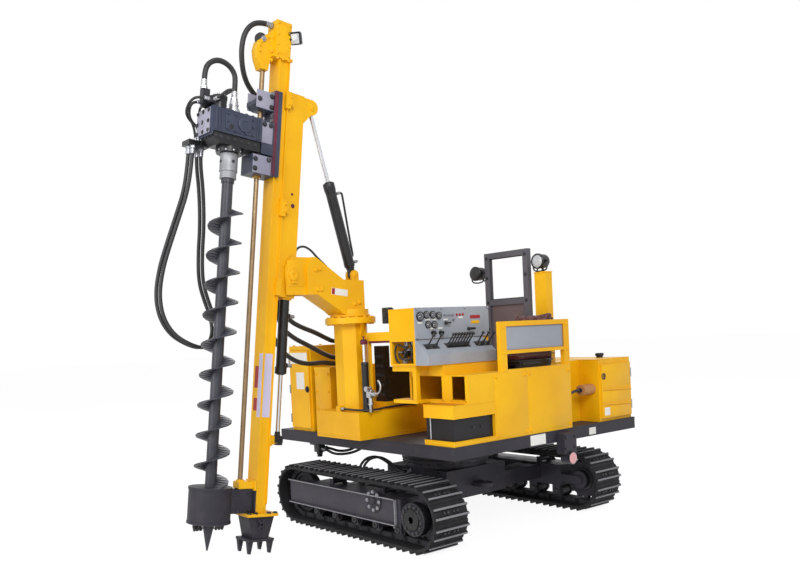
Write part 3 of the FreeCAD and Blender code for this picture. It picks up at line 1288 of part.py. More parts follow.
def make_levers():
    levers = []
    y = (CONSOLE_Y[1] + SHELF_FRONT) / 2
    slope = (SHELF_HIGH - SHELF_LOW) / (SHELF_FRONT - CONSOLE_Y[1])
    z = SHELF_HIGH - slope * (y - CONSOLE_Y[1])
    for x in lever_places():
        foot = V(x, y, z)
        tip = foot + V(0, slope, 1).normalize().multiply(LEVER_LENGTH)
        levers.append(join(rod(LEVER_R, foot, tip), Part.makeSphere(KNOB_R, tip)))
    return levers


save("control_levers", make_levers())

GUARD_WINDOW = (GUARD_LOW + GUARD_RAIL + GUARD_SLOT + GUARD_MIDDLE, GUARD_HIGH - GUARD_TOP_RAIL)
GUARD_INNER = (GUARD_X[0] + GUARD_SIDE, GUARD_X[1] - GUARD_SIDE)


def make_guard():
    y1 = SIDE_CAB_Y[1]
    y0 = y1 - GUARD_TUBE
    outer = box(*GUARD_X, y0, y1, GUARD_LOW, GUARD_HIGH)
    slot_low = GUARD_LOW + GUARD_RAIL
    slot = box(*GUARD_INNER, y0 - 1, y1 + 1, slot_low, slot_low + GUARD_SLOT)
    window = box(*GUARD_INNER, y0 - 1, y1 + 1, *GUARD_WINDOW)
    return outer.cut(slot).cut(window)


save("operator_guard", make_guard())
GUARD_MID_Y = SIDE_CAB_Y[1] - GUARD_TUBE / 2
save("guard_panel", box(*GUARD_INNER, GUARD_MID_Y - GUARD_PANEL / 2, GUARD_MID_Y + GUARD_PANEL / 2, *GUARD_WINDOW))
SEAT_X = SIDE_CAB_X[0] + 40
SEAT_Y = (515.0, 935.0)


def make_seat():
    base = box(SEAT_X + 20, SEAT_X + 400, SEAT_Y[0] + 20, SEAT_Y[1] - 20, SIDE_CAB_TOP, SIDE_CAB_TOP + 60)
    cushion = box(SEAT_X + 10, SEAT_X + 430, *SEAT_Y, SIDE_CAB_TOP + 55, SIDE_CAB_TOP + 140)
    low, high = SIDE_CAB_TOP + 90, SIDE_CAB_TOP + 480
    back = side_prism([(SEAT_X + 20, low), (SEAT_X + 110, low), (SEAT_X + 55, high), (SEAT_X - 20, high)],
                      SEAT_Y[0] + 15, SEAT_Y[1] - 15)
    return join(base, cushion, back)


save("seat", make_seat())


def make_frame():
    x0 = FRAME_X - FRAME_TUBE / 2
    x1 = FRAME_X + FRAME_TUBE / 2
    y0, y1 = FRAME_Y[0] + FRAME_TUBE, FRAME_Y[1] - FRAME_TUBE
    outer = box(x0, x1, *FRAME_Y, FRAME_LOW, FRAME_HIGH)
    window = box(x0 - 1, x1 + 1, y0, y1, FRAME_SILL, FRAME_HIGH - FRAME_TUBE)
    low, high = FRAME_LOW + FRAME_FOOT, FRAME_SILL - FRAME_TUBE
    front = box(x0 - 1, FRAME_X - FRAME_PANEL / 2, y0, y1, low, high)
    back = box(FRAME_X + FRAME_PANEL / 2, x1 + 1, y0, y1, low, high)
    return outer.cut(window).cut(front).cut(back)


save("operator_frame", make_frame())
save("intake_column", box(*INTAKE_X, *INTAKE_Y, REAR_CAB_TOP, INTAKE_TOP))


def make_lamps():
    """Round work lamps, one on the intake column and one on the side of the operator's frame."""
    x, y, z = sum(INTAKE_X) / 2, sum(INTAKE_Y) / 2, INTAKE_TOP + LAMP_RISE
    left = join(rod(LAMP_R, V(x, y, z), V(x + LAMP_DEPTH, y, z)), Part.makeSphere(LAMP_R, V(x, y, z)),
                rod(LAMP_STEM_R, V(x, y, INTAKE_TOP), V(x, y, z)))
    x, y, z = FRAME_X, FRAME_Y[0] - LAMP_SIDE, FRAME_HIGH - LAMP_DROP
    right = join(rod(LAMP_R, V(x, y, z), V(x + LAMP_DEPTH, y, z)), Part.makeSphere(LAMP_R, V(x, y, z)),
                 rod(LAMP_STEM_R, V(x, y, z), V(x, FRAME_Y[0], z)))
    return [left, right]


save("work_lamps", make_lamps())


def make_ram():
    """Upright cylinder on the boom plinth."""
    barrel = rod(RAM_R, V(RAM_X, RAM_Y, PLINTH_TOP), V(RAM_X, RAM_Y, RAM_TOP))
    stem = rod(RAM_STEM_R, V(RAM_X, RAM_Y, RAM_TOP - 5), V(RAM_X, RAM_Y, RAM_STEM_TOP))
    head = rod(RAM_HEAD_R, V(RAM_X, RAM_Y, RAM_STEM_TOP - 2), V(RAM_X, RAM_Y, RAM_STEM_TOP + RAM_HEAD))
    return join(barrel, stem, head)


def make_valves():
    tall = box(*STACK_X, *STACK_Y, TIER_TOP, STACK_TOP)
    low = box(BLOCK_X[0], BLOCK_X[1] + 1, *STACK_Y, TIER_TOP, BLOCK_TOP)
    return join(tall, low)


save("valve_stack", make_valves(), make_ram())


def make_side_lamp():
    y = DECK_LEFT
    x = sum(SIDE_LAMP_X) / 2
    z = SIDE_LAMP_LOW - 0.73 * SIDE_LAMP_R
    post = box(*SIDE_LAMP_X, y, y + SIDE_LAMP_DEPTH, SIDE_LAMP_LOW, DECK_TOP - SIDE_LAMP_GAP)
    lamp = rod(SIDE_LAMP_R, V(x, y + 10, z), V(x, y + SIDE_LAMP_DEPTH + 14, z))
    return join(post, lamp)


save("side_marker_lamp", make_side_lamp())

# ------------------------------------------------------------------ hoses
LOOP_END = BASE_LOW - HOSE_GAP
LOOP_ROUTE = [(735, -112, LOOP_END), (735, -112, 690), (746, -121, 494), (780, -149, 323),
              (818, -180, 139), (851, -207, -37), (859, -226, -216), (827, -213, -368), (752, -190, -475),
              (651, -160, -531), (542, -165, -552), (456, -195, -513), (409, -233, -428),
              (422, -256, -319), (473, -266, -209), (524, -265, -84), (550, -245, 98), (568, -207, 300),
              (607, -175, 530), (658, -142, 700), (658, -142, LOOP_END)]
ARCH_ROUTE = [(SWIVEL_D, 0, GEAR_HIGH + SWIVEL + HOSE_GAP), (SWIVEL_D, 0, 1160), (500, 0, 1290), (564, 0, 1367),
              (666, 0, 1370), (736, 0, 1300), (735, 0, 1225), (735, 0, GEAR_HIGH + FITTING_HEIGHT + HOSE_GAP)]
MAST_ROUTE = [(HEAD_BOX_FRONT + HOSE_GAP, 0, 1735), (312, 0, 1735), (395, -2, 1703), (448, -6, 1625),
              (460, -18, 1530), (440, -42, 1440), (395, -80, 1360), (325, -112, 1292), (240, -126, 1250),
              (PEG_D[1] + HOSE_GAP, -126, 1250)]
HEAD_END = HEAD_BLOCK_Z[0] - HOSE_GAP
REAR_END = REAR_BLOCK_Z[0] - HOSE_GAP
BOOM_ROUTES = [
    [(1400, -152, HEAD_END), (1400, -152, 1775), (1396, -168, 1690), (1345, -168, 1615), (1250, -168, 1567),
     (1120, -178, 1525), (1000, -205, 1478), (905, -238, 1448), (828, -262, 1455), (776, -268, 1524),
     (759, -252, 1612), (759, -252, REAR_END)],
    [(1440, -152, HEAD_END), (1440, -152, 1762), (1448, -170, 1660), (1410, -172, 1560), (1310, -170, 1485),
     (1170, -182, 1425), (1030, -205, 1360), (900, -235, 1318), (800, -248, 1340), (736, -240, 1420),
     (715, -230, 1510), (719, -222, 1612), (719, -222, REAR_END)],
    [(1480, -152, HEAD_END), (1480, -152, 1760), (1506, -170, 1645), (1500, -175, 1520), (1430, -170, 1400),
     (1320, -165, 1320), (1190, -172, 1290), (1050, -190, 1298), (920, -215, 1275), (800, -232, 1295),
     (718, -222, 1370), (684, -200, 1470), (686, -184, 1592), (686, -184, REAR_END)],
]
TOP_ROUTE = [(1300, -127, PIVOT_Z + 128 + HOSE_GAP), (1300, -127, 2102), (1270, -127, 2144), (1215, -126, 2155),
             (1160, -122, 2128), (1115, -118, 2080), (1062, -116, 2036), (1012, -116, 1994),
             (976, -116, 1952), (974, -116, 1900.5)]
LEG_HOSE_X = TRACK_GAUGE / 2 - 210


def across(share):
    """How far out a track hose's point is, as a share of the way from the car body to its end on the leg."""
    return CAR_HALF_X + share * (LEG_HOSE_X - CAR_HALF_X)


TRACK_ROUTE = [(CAR_HALF_X + HOSE_GAP, -60, 395), (across(0.21), -60, 395), (across(0.42), -66, 430),
               (across(0.6), -80, 490), (across(0.78), -118, 532), (across(0.93), -180, 520),
               (across(0.99), -236, 462), (LEG_HOSE_X, -250, 392), (LEG_HOSE_X, -250, LEG_TOP + HOSE_GAP)]
TRACK_HOSE_SHIFT = V(0, -44, 0)
DECK_ROUTE = [(DECK_SOCKET_X[1] + HOSE_GAP, 182, 950), (640, 182, 950), (770, 187, 947), (868, 226, 946),
              (955, 228, 945), (1012, 150, 946), (DECK_BLOCK_X, 40, 948),
              (DECK_BLOCK_X, DECK_BLOCK_Y + HOSE_GAP, 948)]
CONSOLE_FLOOR = CONSOLE_LOW + 13 + HOSE_GAP
CONSOLE_CEILING = CONSOLE_MIDDLE - 12 - HOSE_GAP
CONSOLE_ROUTES = [
    [(800, 470, CONSOLE_FLOOR), (800, 470, 1322), (820, 490, 1378), (820, 490, CONSOLE_CEILING)],
    [(850, 500, CONSOLE_FLOOR), (850, 500, 1322), (838, 526, 1378), (838, 526, CONSOLE_CEILING)],
    [(812, 590, CONSOLE_FLOOR), (812, 590, 1322), (836, 576, 1378), (836, 576, CONSOLE_CEILING)],
]


def placed(route):
    return [V(*point) for point in route]


def on_mast_points(route, shift=(0, 0)):
    return [mast_point(d + shift[0], y + shift[1], s) for d, y, s in route]


save("head_hose_a", hose("long hose a", LOOP_HOSE_R, on_mast_points(LOOP_ROUTE)))
save("head_hose_b", hose("long hose b", LOOP_HOSE_R, on_mast_points(LOOP_ROUTE, HOSE_SHIFT)))
save("head_arch_hose", hose("arch hose", ARCH_HOSE_R, on_mast_points(ARCH_ROUTE)))
save("mast_hose", hose("mast hose", MAST_HOSE_R, on_mast_points(MAST_ROUTE)))
save("boom_hoses", [hose("boom hose", BOOM_HOSE_R, placed(route)) for route in BOOM_ROUTES],
     hose("boom top hose", TOP_HOSE_R, placed(TOP_ROUTE)))
TRACK_POINTS = placed(TRACK_ROUTE)
save("track_hoses", hose("track hose", TRACK_HOSE_R, TRACK_POINTS),
     hose("track hose", TRACK_HOSE_R, [point.add(TRACK_HOSE_SHIFT) for point in TRACK_POINTS]))
save("deck_hoses", hose("deck hose", DECK_HOSE_R, placed(DECK_ROUTE)),
     [hose("console hose", DECK_HOSE_R, placed(route)) for route in CONSOLE_ROUTES])
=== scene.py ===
# %% [markdown]
# A crawler drilling rig, dressed over its engineering model.
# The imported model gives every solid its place. This lesson adds what makes it look real:
# finishes made of shader nodes, hoses that follow smooth curves, bolts, dials, seams and padding.
# Each step first says what the real thing is, and then why it is made the way it is.

# %% Load the frame
import bpy
import math
from mathutils import Matrix, Vector


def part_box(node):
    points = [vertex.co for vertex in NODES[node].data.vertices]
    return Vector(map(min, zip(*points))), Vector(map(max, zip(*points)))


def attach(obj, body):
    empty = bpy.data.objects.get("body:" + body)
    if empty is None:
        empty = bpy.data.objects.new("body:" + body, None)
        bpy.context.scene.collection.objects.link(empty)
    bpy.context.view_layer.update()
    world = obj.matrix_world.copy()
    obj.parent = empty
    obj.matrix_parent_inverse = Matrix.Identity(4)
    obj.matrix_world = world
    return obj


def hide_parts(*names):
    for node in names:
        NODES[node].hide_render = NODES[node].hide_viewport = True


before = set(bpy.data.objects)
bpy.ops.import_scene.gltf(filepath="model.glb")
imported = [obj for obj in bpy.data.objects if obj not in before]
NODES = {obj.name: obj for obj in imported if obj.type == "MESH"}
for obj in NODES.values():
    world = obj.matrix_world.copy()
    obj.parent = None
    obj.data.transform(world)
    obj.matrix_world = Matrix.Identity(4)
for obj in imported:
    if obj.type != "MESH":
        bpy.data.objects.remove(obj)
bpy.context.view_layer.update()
MM = 0.001

# %% [markdown]
# The camera comes first, because every later choice is judged through it.
# A camera's rotation is a matrix whose columns are its right, its up and its backward direction.
# Working those out from a heading and a pitch is easier to reason about than turning it by hand.

# %% Camera
CAMERA_AT = Vector((4.673, 4.739, 1.501))
HEADING = math.radians(232.26)
PITCH = math.radians(-1.51)
ROLL = math.radians(-2.74)


def camera_matrix(place, heading, pitch, roll):
    ahead = Vector((math.cos(heading) * math.cos(pitch), math.sin(heading) * math.cos(pitch),
                    math.sin(pitch)))
    right = ahead.cross(Vector((0, 0, 1))).normalized()
    up = right.cross(ahead)
    tilted_right = right * math.cos(roll) + up * math.sin(roll)
    tilted_up = up * math.cos(roll) - right * math.sin(roll)
    turn = Matrix((tilted_right, tilted_up, -ahead)).transposed()
    return Matrix.Translation(place) @ turn.to_4x4()


lens = bpy.data.cameras.new("camera")
lens.sensor_width = 36.0
lens.lens = 36.67
lens.shift_x = 0.0717
lens.shift_y = 0.087
lens.clip_end = 200.0
camera = bpy.data.objects.new("camera", lens)
bpy.context.scene.collection.objects.link(camera)
camera.matrix_world = camera_matrix(CAMERA_AT, HEADING, PITCH, ROLL)
bpy.context.scene.camera = camera
print("camera at", [round(v, 2) for v in camera.location])

# %% [markdown]
# Real paint, rubber and steel differ in how rough they are as much as in colour.
# Colours are written as the hex codes of a colour picker, so one function turns them to the
# linear values that a renderer needs. Small helpers add a node, a noise, a range, a mix or a bump,
# so that each recipe below reads as a few lines.

# %% Colour and node helpers


def linear(code, alpha=1.0):
    """sRGB hex to the linear colour a shader socket takes."""
    channels = [int(code[k:k + 2], 16) / 255 for k in (1, 3, 5)]
    return tuple(c / 12.92 if c <= 0.04045 else ((c + 0.055) / 1.055) ** 2.4 for c in channels) + (alpha,)


def add(tree, kind, links=None, **settings):
    """Add a node, set its sockets and properties, and link its inputs to nodes or (node, output) pairs."""
    made = tree.nodes.new(kind)
    for key, value in settings.items():
        if hasattr(made, key):
            setattr(made, key, value)
        else:
            made.inputs[key.replace("_", " ")].default_value = value
    for key, source in (links or {}).items():
        node, output = source if isinstance(source, tuple) else (source, 0)
        tree.links.new(node.outputs[output], made.inputs[key])
    return made


def wire(shader, **sources):
    """Set a shader's sockets from nodes, colours or numbers."""
    for key, source in sources.items():
        socket = shader.inputs[key.replace("_", " ")]
        if isinstance(source, bpy.types.Node):
            shader.id_data.links.new(source.outputs[0], socket)
        else:
            socket.default_value = source


def start(name):
    """A new material with its node tree, its shader and its object coordinates."""
    material = bpy.data.materials.new(name)
    material.use_nodes = True
    tree = material.node_tree
    tree.nodes.clear()
    shader = tree.nodes.new("ShaderNodeBsdfPrincipled")
    add(tree, "ShaderNodeOutputMaterial", {0: shader})
    return material, tree, shader, (add(tree, "ShaderNodeTexCoord"), "Object")


def per_metre(millimetres):
    """Texture scale for a pattern that repeats every so many millimetres."""
    return 1.0 / (millimetres * MM)


def noise(tree, spot, size, detail, rough=0.5):
    """Noise with features of about so many millimetres."""
    return add(tree, "ShaderNodeTexNoise", {"Vector": spot}, Scale=per_metre(size), Detail=detail,
               Roughness=rough)


def span(tree, source, low=0.0, high=1.0, to_low=0.0, to_high=1.0):
    """Stretch one range of a factor onto another."""
    return add(tree, "ShaderNodeMapRange", {"Value": source}, From_Min=low, From_Max=high, To_Min=to_low,
               To_Max=to_high)


def blend(tree, share, first, second):
    """Mix two colours, each a hex code or a node."""
    made = add(tree, "ShaderNodeMixRGB", {"Fac": share})
    wire(made, **{key: linear(colour) if isinstance(colour, str) else colour
                  for key, colour in (("Color1", first), ("Color2", second))})
    return made


def dent(tree, height, strength, distance):
    """Bump from a node's height, with its depth in metres."""
    return add(tree, "ShaderNodeBump", {"Height": height}, Strength=strength, Distance=distance)


print("yellow", [round(c, 3) for c in linear("#F2B41C")])

# %% [markdown]
# Machine enamel is sprayed polyurethane paint over steel. It is glossy but never flat:
# the spray leaves an orange-peel skin a few millimetres across, dust lies in broad patches,
# and the gloss is dulled where hands and boots have been. So one recipe mixes three noises:
# a broad one for tone, a middle one for roughness and a fine one for the bump.

# %% Enamel recipe


def enamel(name, code, shade, rough=0.36, dust="#A8957A", dusty=0.14, peel=4.0, coat=0.06):
    material, tree, shader, spot = start(name)
    tone = span(tree, noise(tree, spot, 420, 3), 0.38, 0.66)
    stain = noise(tree, spot, 95, 6, 0.62)
    dusted = blend(tree, span(tree, stain, 0.5, 0.82, 0, dusty), blend(tree, tone, shade, code), dust)
    dull = span(tree, stain, 0.3, 0.8, rough, rough + 0.22)
    skin = dent(tree, noise(tree, spot, peel, 1), 0.06, 0.0006)
    wire(shader, Base_Color=dusted, Roughness=dull, Normal=skin, Specular_IOR_Level=0.3, Coat_Weight=coat,
         Coat_Roughness=0.12)
    return material


YELLOW = enamel("yellow_polyurethane_enamel", "#F2B809", "#E8AA05", dust="#C29A4A", dusty=0.09)
# A darker copy of the machine's yellow that paints shade; the guard window seal and the step tread wear it.
SHADED_YELLOW = enamel("painted_shade_yellow_enamel", "#C98516", "#B67510", dusty=0.1)
CHASSIS = enamel("charcoal_chassis_enamel", "#302E37", "#27252D", rough=0.46, dust="#5E5850", dusty=0.26,
                 coat=0.02)
FRAME_GREY = enamel("mid_grey_enamel", "#5C5A62", "#504E56", rough=0.42, dust="#7C766C", dusty=0.2, coat=0.02)
BEAM_GREY = enamel("graphite_chassis_enamel", "#3F3C45", "#34323A", rough=0.44, dust="#6E685E", dusty=0.3,
                   coat=0.02)
SLATE = enamel("slate_blue_enamel", "#3F4558", "#353A4B", rough=0.34, dust="#76746E", dusty=0.16)
AUGER_PAINT = enamel("graphite_enamel", "#3B3C45", "#2E2F37", rough=0.34, dust="#726C60", dusty=0.2,
                     coat=0.12)
LILAC = enamel("lilac_grey_enamel", "#9E9DAB", "#8A889A", rough=0.36, dust="#BDB6A8", dusty=0.12)
BLACK = enamel("black_gloss_enamel", "#1B1C1F", "#131416", rough=0.3, dust="#504B44", dusty=0.14, coat=0.2)
GREY_PANEL = enamel("pale_grey_enamel", "#A3A7AF", "#9297A0", rough=0.38, dust="#C6C2B6", dusty=0.1)
COPPER_PAINT = enamel("copper_brown_enamel", "#B88354", "#A27045", rough=0.4, dusty=0.14)
RED_PAINT = enamel("signal_red_enamel", "#A8242A", "#8E1C24", rough=0.36, dusty=0.1)
MAROON_PAINT = enamel("maroon_enamel", "#6E2036", "#581A2E", rough=0.4, dusty=0.12)
MAROON_GREY = enamel("maroon_grey_enamel", "#6C5D5E", "#5F5153", rough=0.44, dusty=0.1)
# Near-black enamel that paints the shade inside the step's recess.
RECESS_SHADE_BLACK = enamel("painted_recess_shade_black_enamel", "#17161C", "#111015", rough=0.38, dust="#504B44", dusty=0.1)
PALE_LILAC = enamel("pale_lilac_enamel", "#C9C5DF", "#BDB8D2", rough=0.4, dusty=0.08)
WHITE_PAINT = enamel("white_enamel", "#EDEBE6", "#DEDBD4", rough=0.4, dusty=0.1)
print("enamels", len(bpy.data.materials))

# %% [markdown]
# Cast and forged steel that rubs on soil is dark and rough in its hollows and bright on its edges.
# A coarse noise makes the casting skin, and a second, stretched one lays brighter scrapes over it.

# %% Steels


def worked_steel(name, code, bright, rough=0.55, metallic=0.6, grain=7.0, scraped=0.35):
    material, tree, shader, spot = start(name)
    patch = noise(tree, spot, 70, 6, 0.7)
    tint = blend(tree, span(tree, patch, 0.52, 0.74, 0, scraped), code, bright)
    rubbed = span(tree, patch, 0.4, 0.75, rough + 0.12, rough - 0.12)
    cast = dent(tree, noise(tree, spot, grain, 5, 0.6), 0.3, 0.001)
    wire(shader, Base_Color=tint, Roughness=rubbed, Normal=cast, Metallic=metallic)
    return material


TRACK_STEEL = worked_steel("cast_manganese_steel", "#121114", "#333238", metallic=0.2, rough=0.66,
                           scraped=0.3)
BARE_STEEL = worked_steel("bare_machined_steel", "#8C8D91", "#B4B5B8", metallic=0.4, rough=0.5)
# Pale steel for the thin strips that paint highlights on the track beam's edges.
EDGE_HIGHLIGHT_STEEL = worked_steel("painted_highlight_edge_steel", "#8E8E93", "#B9B9BE", metallic=0.3, rough=0.5)
CHAIN_STEEL = worked_steel("forged_chain_steel", "#38373B", "#7E7B78", metallic=0.4, rough=0.52)
BOLT_STEEL = worked_steel("zinc_plated_steel", "#9B9DA2", "#C8CACD", metallic=0.9, rough=0.36, grain=3.0)
DARK_BOLT = worked_steel("blackened_bolt_steel", "#3A3A3E", "#77777C", metallic=0.7, rough=0.42, grain=3.0)
# Ground steel whose brown-gold tint paints the reflection of the yellow machine in the bar.
GUIDE_STEEL_AND_REFLECTION = worked_steel("ground_steel_with_painted_reflection", "#8A7253", "#B09A78", metallic=0.7, rough=0.36, grain=5.0)
ENGINE_IRON = worked_steel("grey_cast_iron", "#4B4C4E", "#6C6D6F", metallic=0.4, rough=0.6)
GALVANISED = worked_steel("brushed_stainless_steel", "#B7B9BD", "#D6D8DA", metallic=1.0, rough=0.3, grain=2.5)


def bare_tips(material, code, middle_y, axis_z, from_r, to_r):
    """Show bare metal past a radius round a track loop, where the ground rubs the paint and rust off."""
    tree = material.node_tree
    shader = next(node for node in tree.nodes if node.type == "BSDF_PRINCIPLED")
    base = shader.inputs["Base Color"].links[0].from_node

    def reckon(kind, source, number):
        made = add(tree, "ShaderNodeMath", {0: source}, operation=kind)
        made.inputs[1].default_value = number
        return made

    split = add(tree, "ShaderNodeSeparateXYZ", {0: (add(tree, "ShaderNodeTexCoord"), "Object")})
    reach = add(tree, "ShaderNodeMath", {0: (split, "Y")}, operation="ABSOLUTE")
    ahead = reckon("MAXIMUM", reckon("SUBTRACT", reach, middle_y), 0.0)
    flat = add(tree, "ShaderNodeCombineXYZ", {"X": ahead, "Y": reckon("SUBTRACT", (split, "Z"), axis_z)})
    radius = add(tree, "ShaderNodeVectorMath", {0: flat}, operation="LENGTH")
    worn = span(tree, (radius, "Value"), from_r, to_r, 0, 0.85)
    wire(shader, Base_Color=blend(tree, worn, base, code))


bare_tips(TRACK_STEEL, "#8C8C90", 0.704, 0.236, 0.231, 0.2352)


def polished(name, code, rough):
    """Hard chrome plate: nearly a mirror, with faint wipe marks of oil along it."""
    material, tree, shader, spot = start(name)
    film = span(tree, noise(tree, spot, 30, 3), to_low=rough * 0.6, to_high=rough * 1.9)
    wire(shader, Roughness=film, Base_Color=linear(code), Metallic=1.0)
    return material


CHROME = polished("hard_chrome_plate", "#D6D8DC", 0.12)
BRASS = polished("turned_brass", "#C9A45A", 0.28)
print("steels done")

# %% [markdown]
# Hose covers and grips are rubber and moulded plastic: dark, with hardly any gloss.
# The hose cover is cloth-wrapped while it cures, which leaves a fine weave in the rubber.
# The weave of the real hose is near 1 mm, too fine to see from here, so it is drawn at 4 mm.

# %% Rubber, plastic, glass


def rubber(name, code, rough, weave):
    material, tree, shader, spot = start(name)
    dirt = noise(tree, spot, 120, 5)
    cloth = add(tree, "ShaderNodeTexVoronoi", {"Vector": spot}, Scale=per_metre(weave))
    wire(shader, Base_Color=blend(tree, span(tree, dirt, 0.5, 0.8, 0, 0.16), code, "#5A554E"),
         Roughness=span(tree, dirt, to_low=rough - 0.08, to_high=rough + 0.1),
         Normal=dent(tree, cloth, 0.2, 0.0008))
    return material


HOSE = rubber("wrapped_hose_rubber", "#1B1B1E", 0.5, 4.0)
GRIP = rubber("moulded_black_plastic", "#141416", 0.36, 2.0)
BELLOWS = rubber("nitrile_bellows_rubber", "#222226", 0.62, 5.0)


def glassy(name, code, rough=0.08, through=0.0):
    material, tree, shader, spot = start(name)
    flute = add(tree, "ShaderNodeTexWave", {"Vector": spot}, Scale=per_metre(60), bands_direction="Y")
    wire(shader, Normal=dent(tree, (flute, "Fac"), 0.25, 0.002), Base_Color=linear(code), Roughness=rough,
         Transmission_Weight=through, Coat_Weight=0.6)
    return material


LAMP_GLASS = glassy("fluted_lamp_glass", "#D9DDE0", 0.1, 0.35)
PINK_GLASS = glassy("rose_marker_lens", "#D99A9C", 0.16)
DIAL_FACE = glassy("dark_dial_face", "#4A4C55", 0.25)
print("materials", len(bpy.data.materials))

# %% [markdown]
# The seat is covered in maroon vinyl: a soft grain a few millimetres across, a dull sheen,
# and paler rubbed patches where the driver sits.

# %% Seat vinyl


def vinyl(name, code, rubbed):
    material, tree, shader, spot = start(name)
    grain = add(tree, "ShaderNodeTexVoronoi", {"Vector": spot}, Scale=per_metre(5),
                feature="DISTANCE_TO_EDGE")
    wear = span(tree, noise(tree, spot, 160, 4), 0.48, 0.76, 0, 0.55)
    wire(shader, Base_Color=blend(tree, wear, code, rubbed), Normal=dent(tree, grain, 0.35, 0.0012),
         Roughness=0.46, Sheen_Weight=0.15)
    return material


SEAT_VINYL = vinyl("maroon_grained_vinyl", "#4A1518", "#6A2A2A")
print("vinyl ready")

# %% [markdown]
# The engineering solids keep their shapes, so most of the machine only needs the right finish.
# Each solid carries one material slot, and a finish is assigned to it by the name of its node.

# %% Finishes for the engineering solids
FINISHES = {node: material for material, nodes in (
    (TRACK_STEEL, "track_left track_right"),
    (BEAM_GREY, "track_frame drive_sprockets"),
    (CHAIN_STEEL, "slew_ring track_wheels"),
    (CHASSIS, "deck mast_foot side_marker_lamp auger_guide"),
    # The recess panel is painted black to stand in for the shade inside the recess.
    (RECESS_SHADE_BLACK, "recess_panel"),
    (FRAME_GREY, "operator_frame"),
    (AUGER_PAINT, "auger"),
    (SLATE, "drill_head_gearbox feed_carriage"),
    (BLACK, "drill_head_base tilt_cylinder_barrel mast_slide_barrel valve_stack"),
    (DARK_BOLT, "drill_head_motors"),
    (CHROME, "tilt_cylinder_rod mast_slide_rod"),
    # The guide bar's gold tint is a painted reflection over steel.
    (GUIDE_STEEL_AND_REFLECTION, "guide_bar"),
    (ENGINE_IRON, "engine_block"),
    (GREY_PANEL, "gauge_panel lever_shelf guard_panel"),
    (GRIP, "control_levers work_lamps"),
    (COPPER_PAINT, "side_canister"),
    (HOSE, "head_arch_hose mast_hose boom_hoses track_hoses deck_hoses head_hose_a head_hose_b"),
    (SEAT_VINYL, "seat"),
) for node in nodes.split()}


def dress(node, material):
    mesh = NODES[node].data
    if not mesh.materials:
        mesh.materials.append(material)
    for index in range(len(mesh.materials)):
        mesh.materials[index] = material


for name in NODES:
    dress(name, FINISHES.get(name, YELLOW))
print("dressed", len(NODES), "solids,", len(NODES) - len(FINISHES), "of them in the machine's yellow")

# %% [markdown]
# The floor and the sky are one pale studio. A big soft lamp stands near the camera, as on an
# overcast day, and a weaker one behind keeps the far edges readable.

# %% Studio


def bright_where_seen(tree, share):
    """A share that counts only for the camera's own rays and for those that glossy surfaces send."""
    ray = add(tree, "ShaderNodeLightPath")
    shown = add(tree, "ShaderNodeMath", {0: (ray, "Is Camera Ray"), 1: (ray, "Is Glossy Ray")},
                operation="MAXIMUM")
    if share == 1:
        return shown
    part = add(tree, "ShaderNodeMath", {0: shown}, operation="MULTIPLY")
    part.inputs[1].default_value = share
    return part


def pale_floor():
    material, tree, shader, _ = start("studio_floor")
    wire(shader, Base_Color=linear("#F4F4F4"), Roughness=0.9, Specular_IOR_Level=0.1)
    glow = add(tree, "ShaderNodeEmission", Strength=1.12)
    mixed = add(tree, "ShaderNodeMixShader", {0: bright_where_seen(tree, 0.82), 1: shader, 2: glow})
    output = next(node for node in tree.nodes if node.type == "OUTPUT_MATERIAL")
    tree.links.new(mixed.outputs[0], output.inputs[0])
    return material


bpy.ops.object.select_all(action="DESELECT")
bpy.ops.mesh.primitive_plane_add(size=120, location=(0, 0, -0.001))
floor = bpy.context.object
floor.name = "floor"
floor.data.materials.append(pale_floor())

world = bpy.data.worlds.new("sky")
bpy.context.scene.world = world
world.use_nodes = True
sky = world.node_tree
sky.nodes.clear()
dim = add(sky, "ShaderNodeBackground", Color=linear("#F4F7FC"), Strength=0.42)
plain = add(sky, "ShaderNodeBackground", Color=(1, 1, 1, 1), Strength=1.0)
skies = add(sky, "ShaderNodeMixShader", {0: bright_where_seen(sky, 1), 1: dim, 2: plain})
add(sky, "ShaderNodeOutputWorld", {"Surface": skies})


def soft_lamp(name, place, target, size, watts):
    light = bpy.data.lights.new(name, "AREA")
    light.size = size
    light.energy = watts
    lamp = bpy.data.objects.new(name, light)
    bpy.context.scene.collection.objects.link(lamp)
    lamp.location = place
    lamp.rotation_euler = (Vector(target) - Vector(place)).to_track_quat("-Z", "Y").to_euler()


soft_lamp("key", (5.5, 8.5, 7.5), (0.4, 0, 1.2), 5.0, 760)
soft_lamp("fill", (8.5, 0.5, 3.5), (0.4, 0, 1.2), 5.0, 280)
soft_lamp("back", (-7.0, -7.5, 6.5), (0, 0, 1.2), 6.0, 280)
bpy.context.scene.view_settings.view_transform = "Standard"
print("studio ready")

# %% [markdown]
# Hydraulic hoses are the softest lines on the machine. A NURBS curve through a few chosen points
# hangs like a real hose, because it can have no corner. The two long ones that feed the drill head
# sway free, so each is made as a curve of its own that rides on the carriage, and its length is printed.

# %% Mast frame and hose helpers
MAST_LEAN = math.radians(7.0)
PIVOT = Vector((1.42, -0.06, 1.93))


def on_mast(d, y, s):
    """A place given forward from, across and along the leaning mast, in millimetres."""
    x = d * math.cos(MAST_LEAN) - s * math.sin(MAST_LEAN)
    z = d * math.sin(MAST_LEAN) + s * math.cos(MAST_LEAN)
    return PIVOT + Vector((x, y, z)) * MM


MAST_AXIS = on_mast(0, 0, 1000) - PIVOT


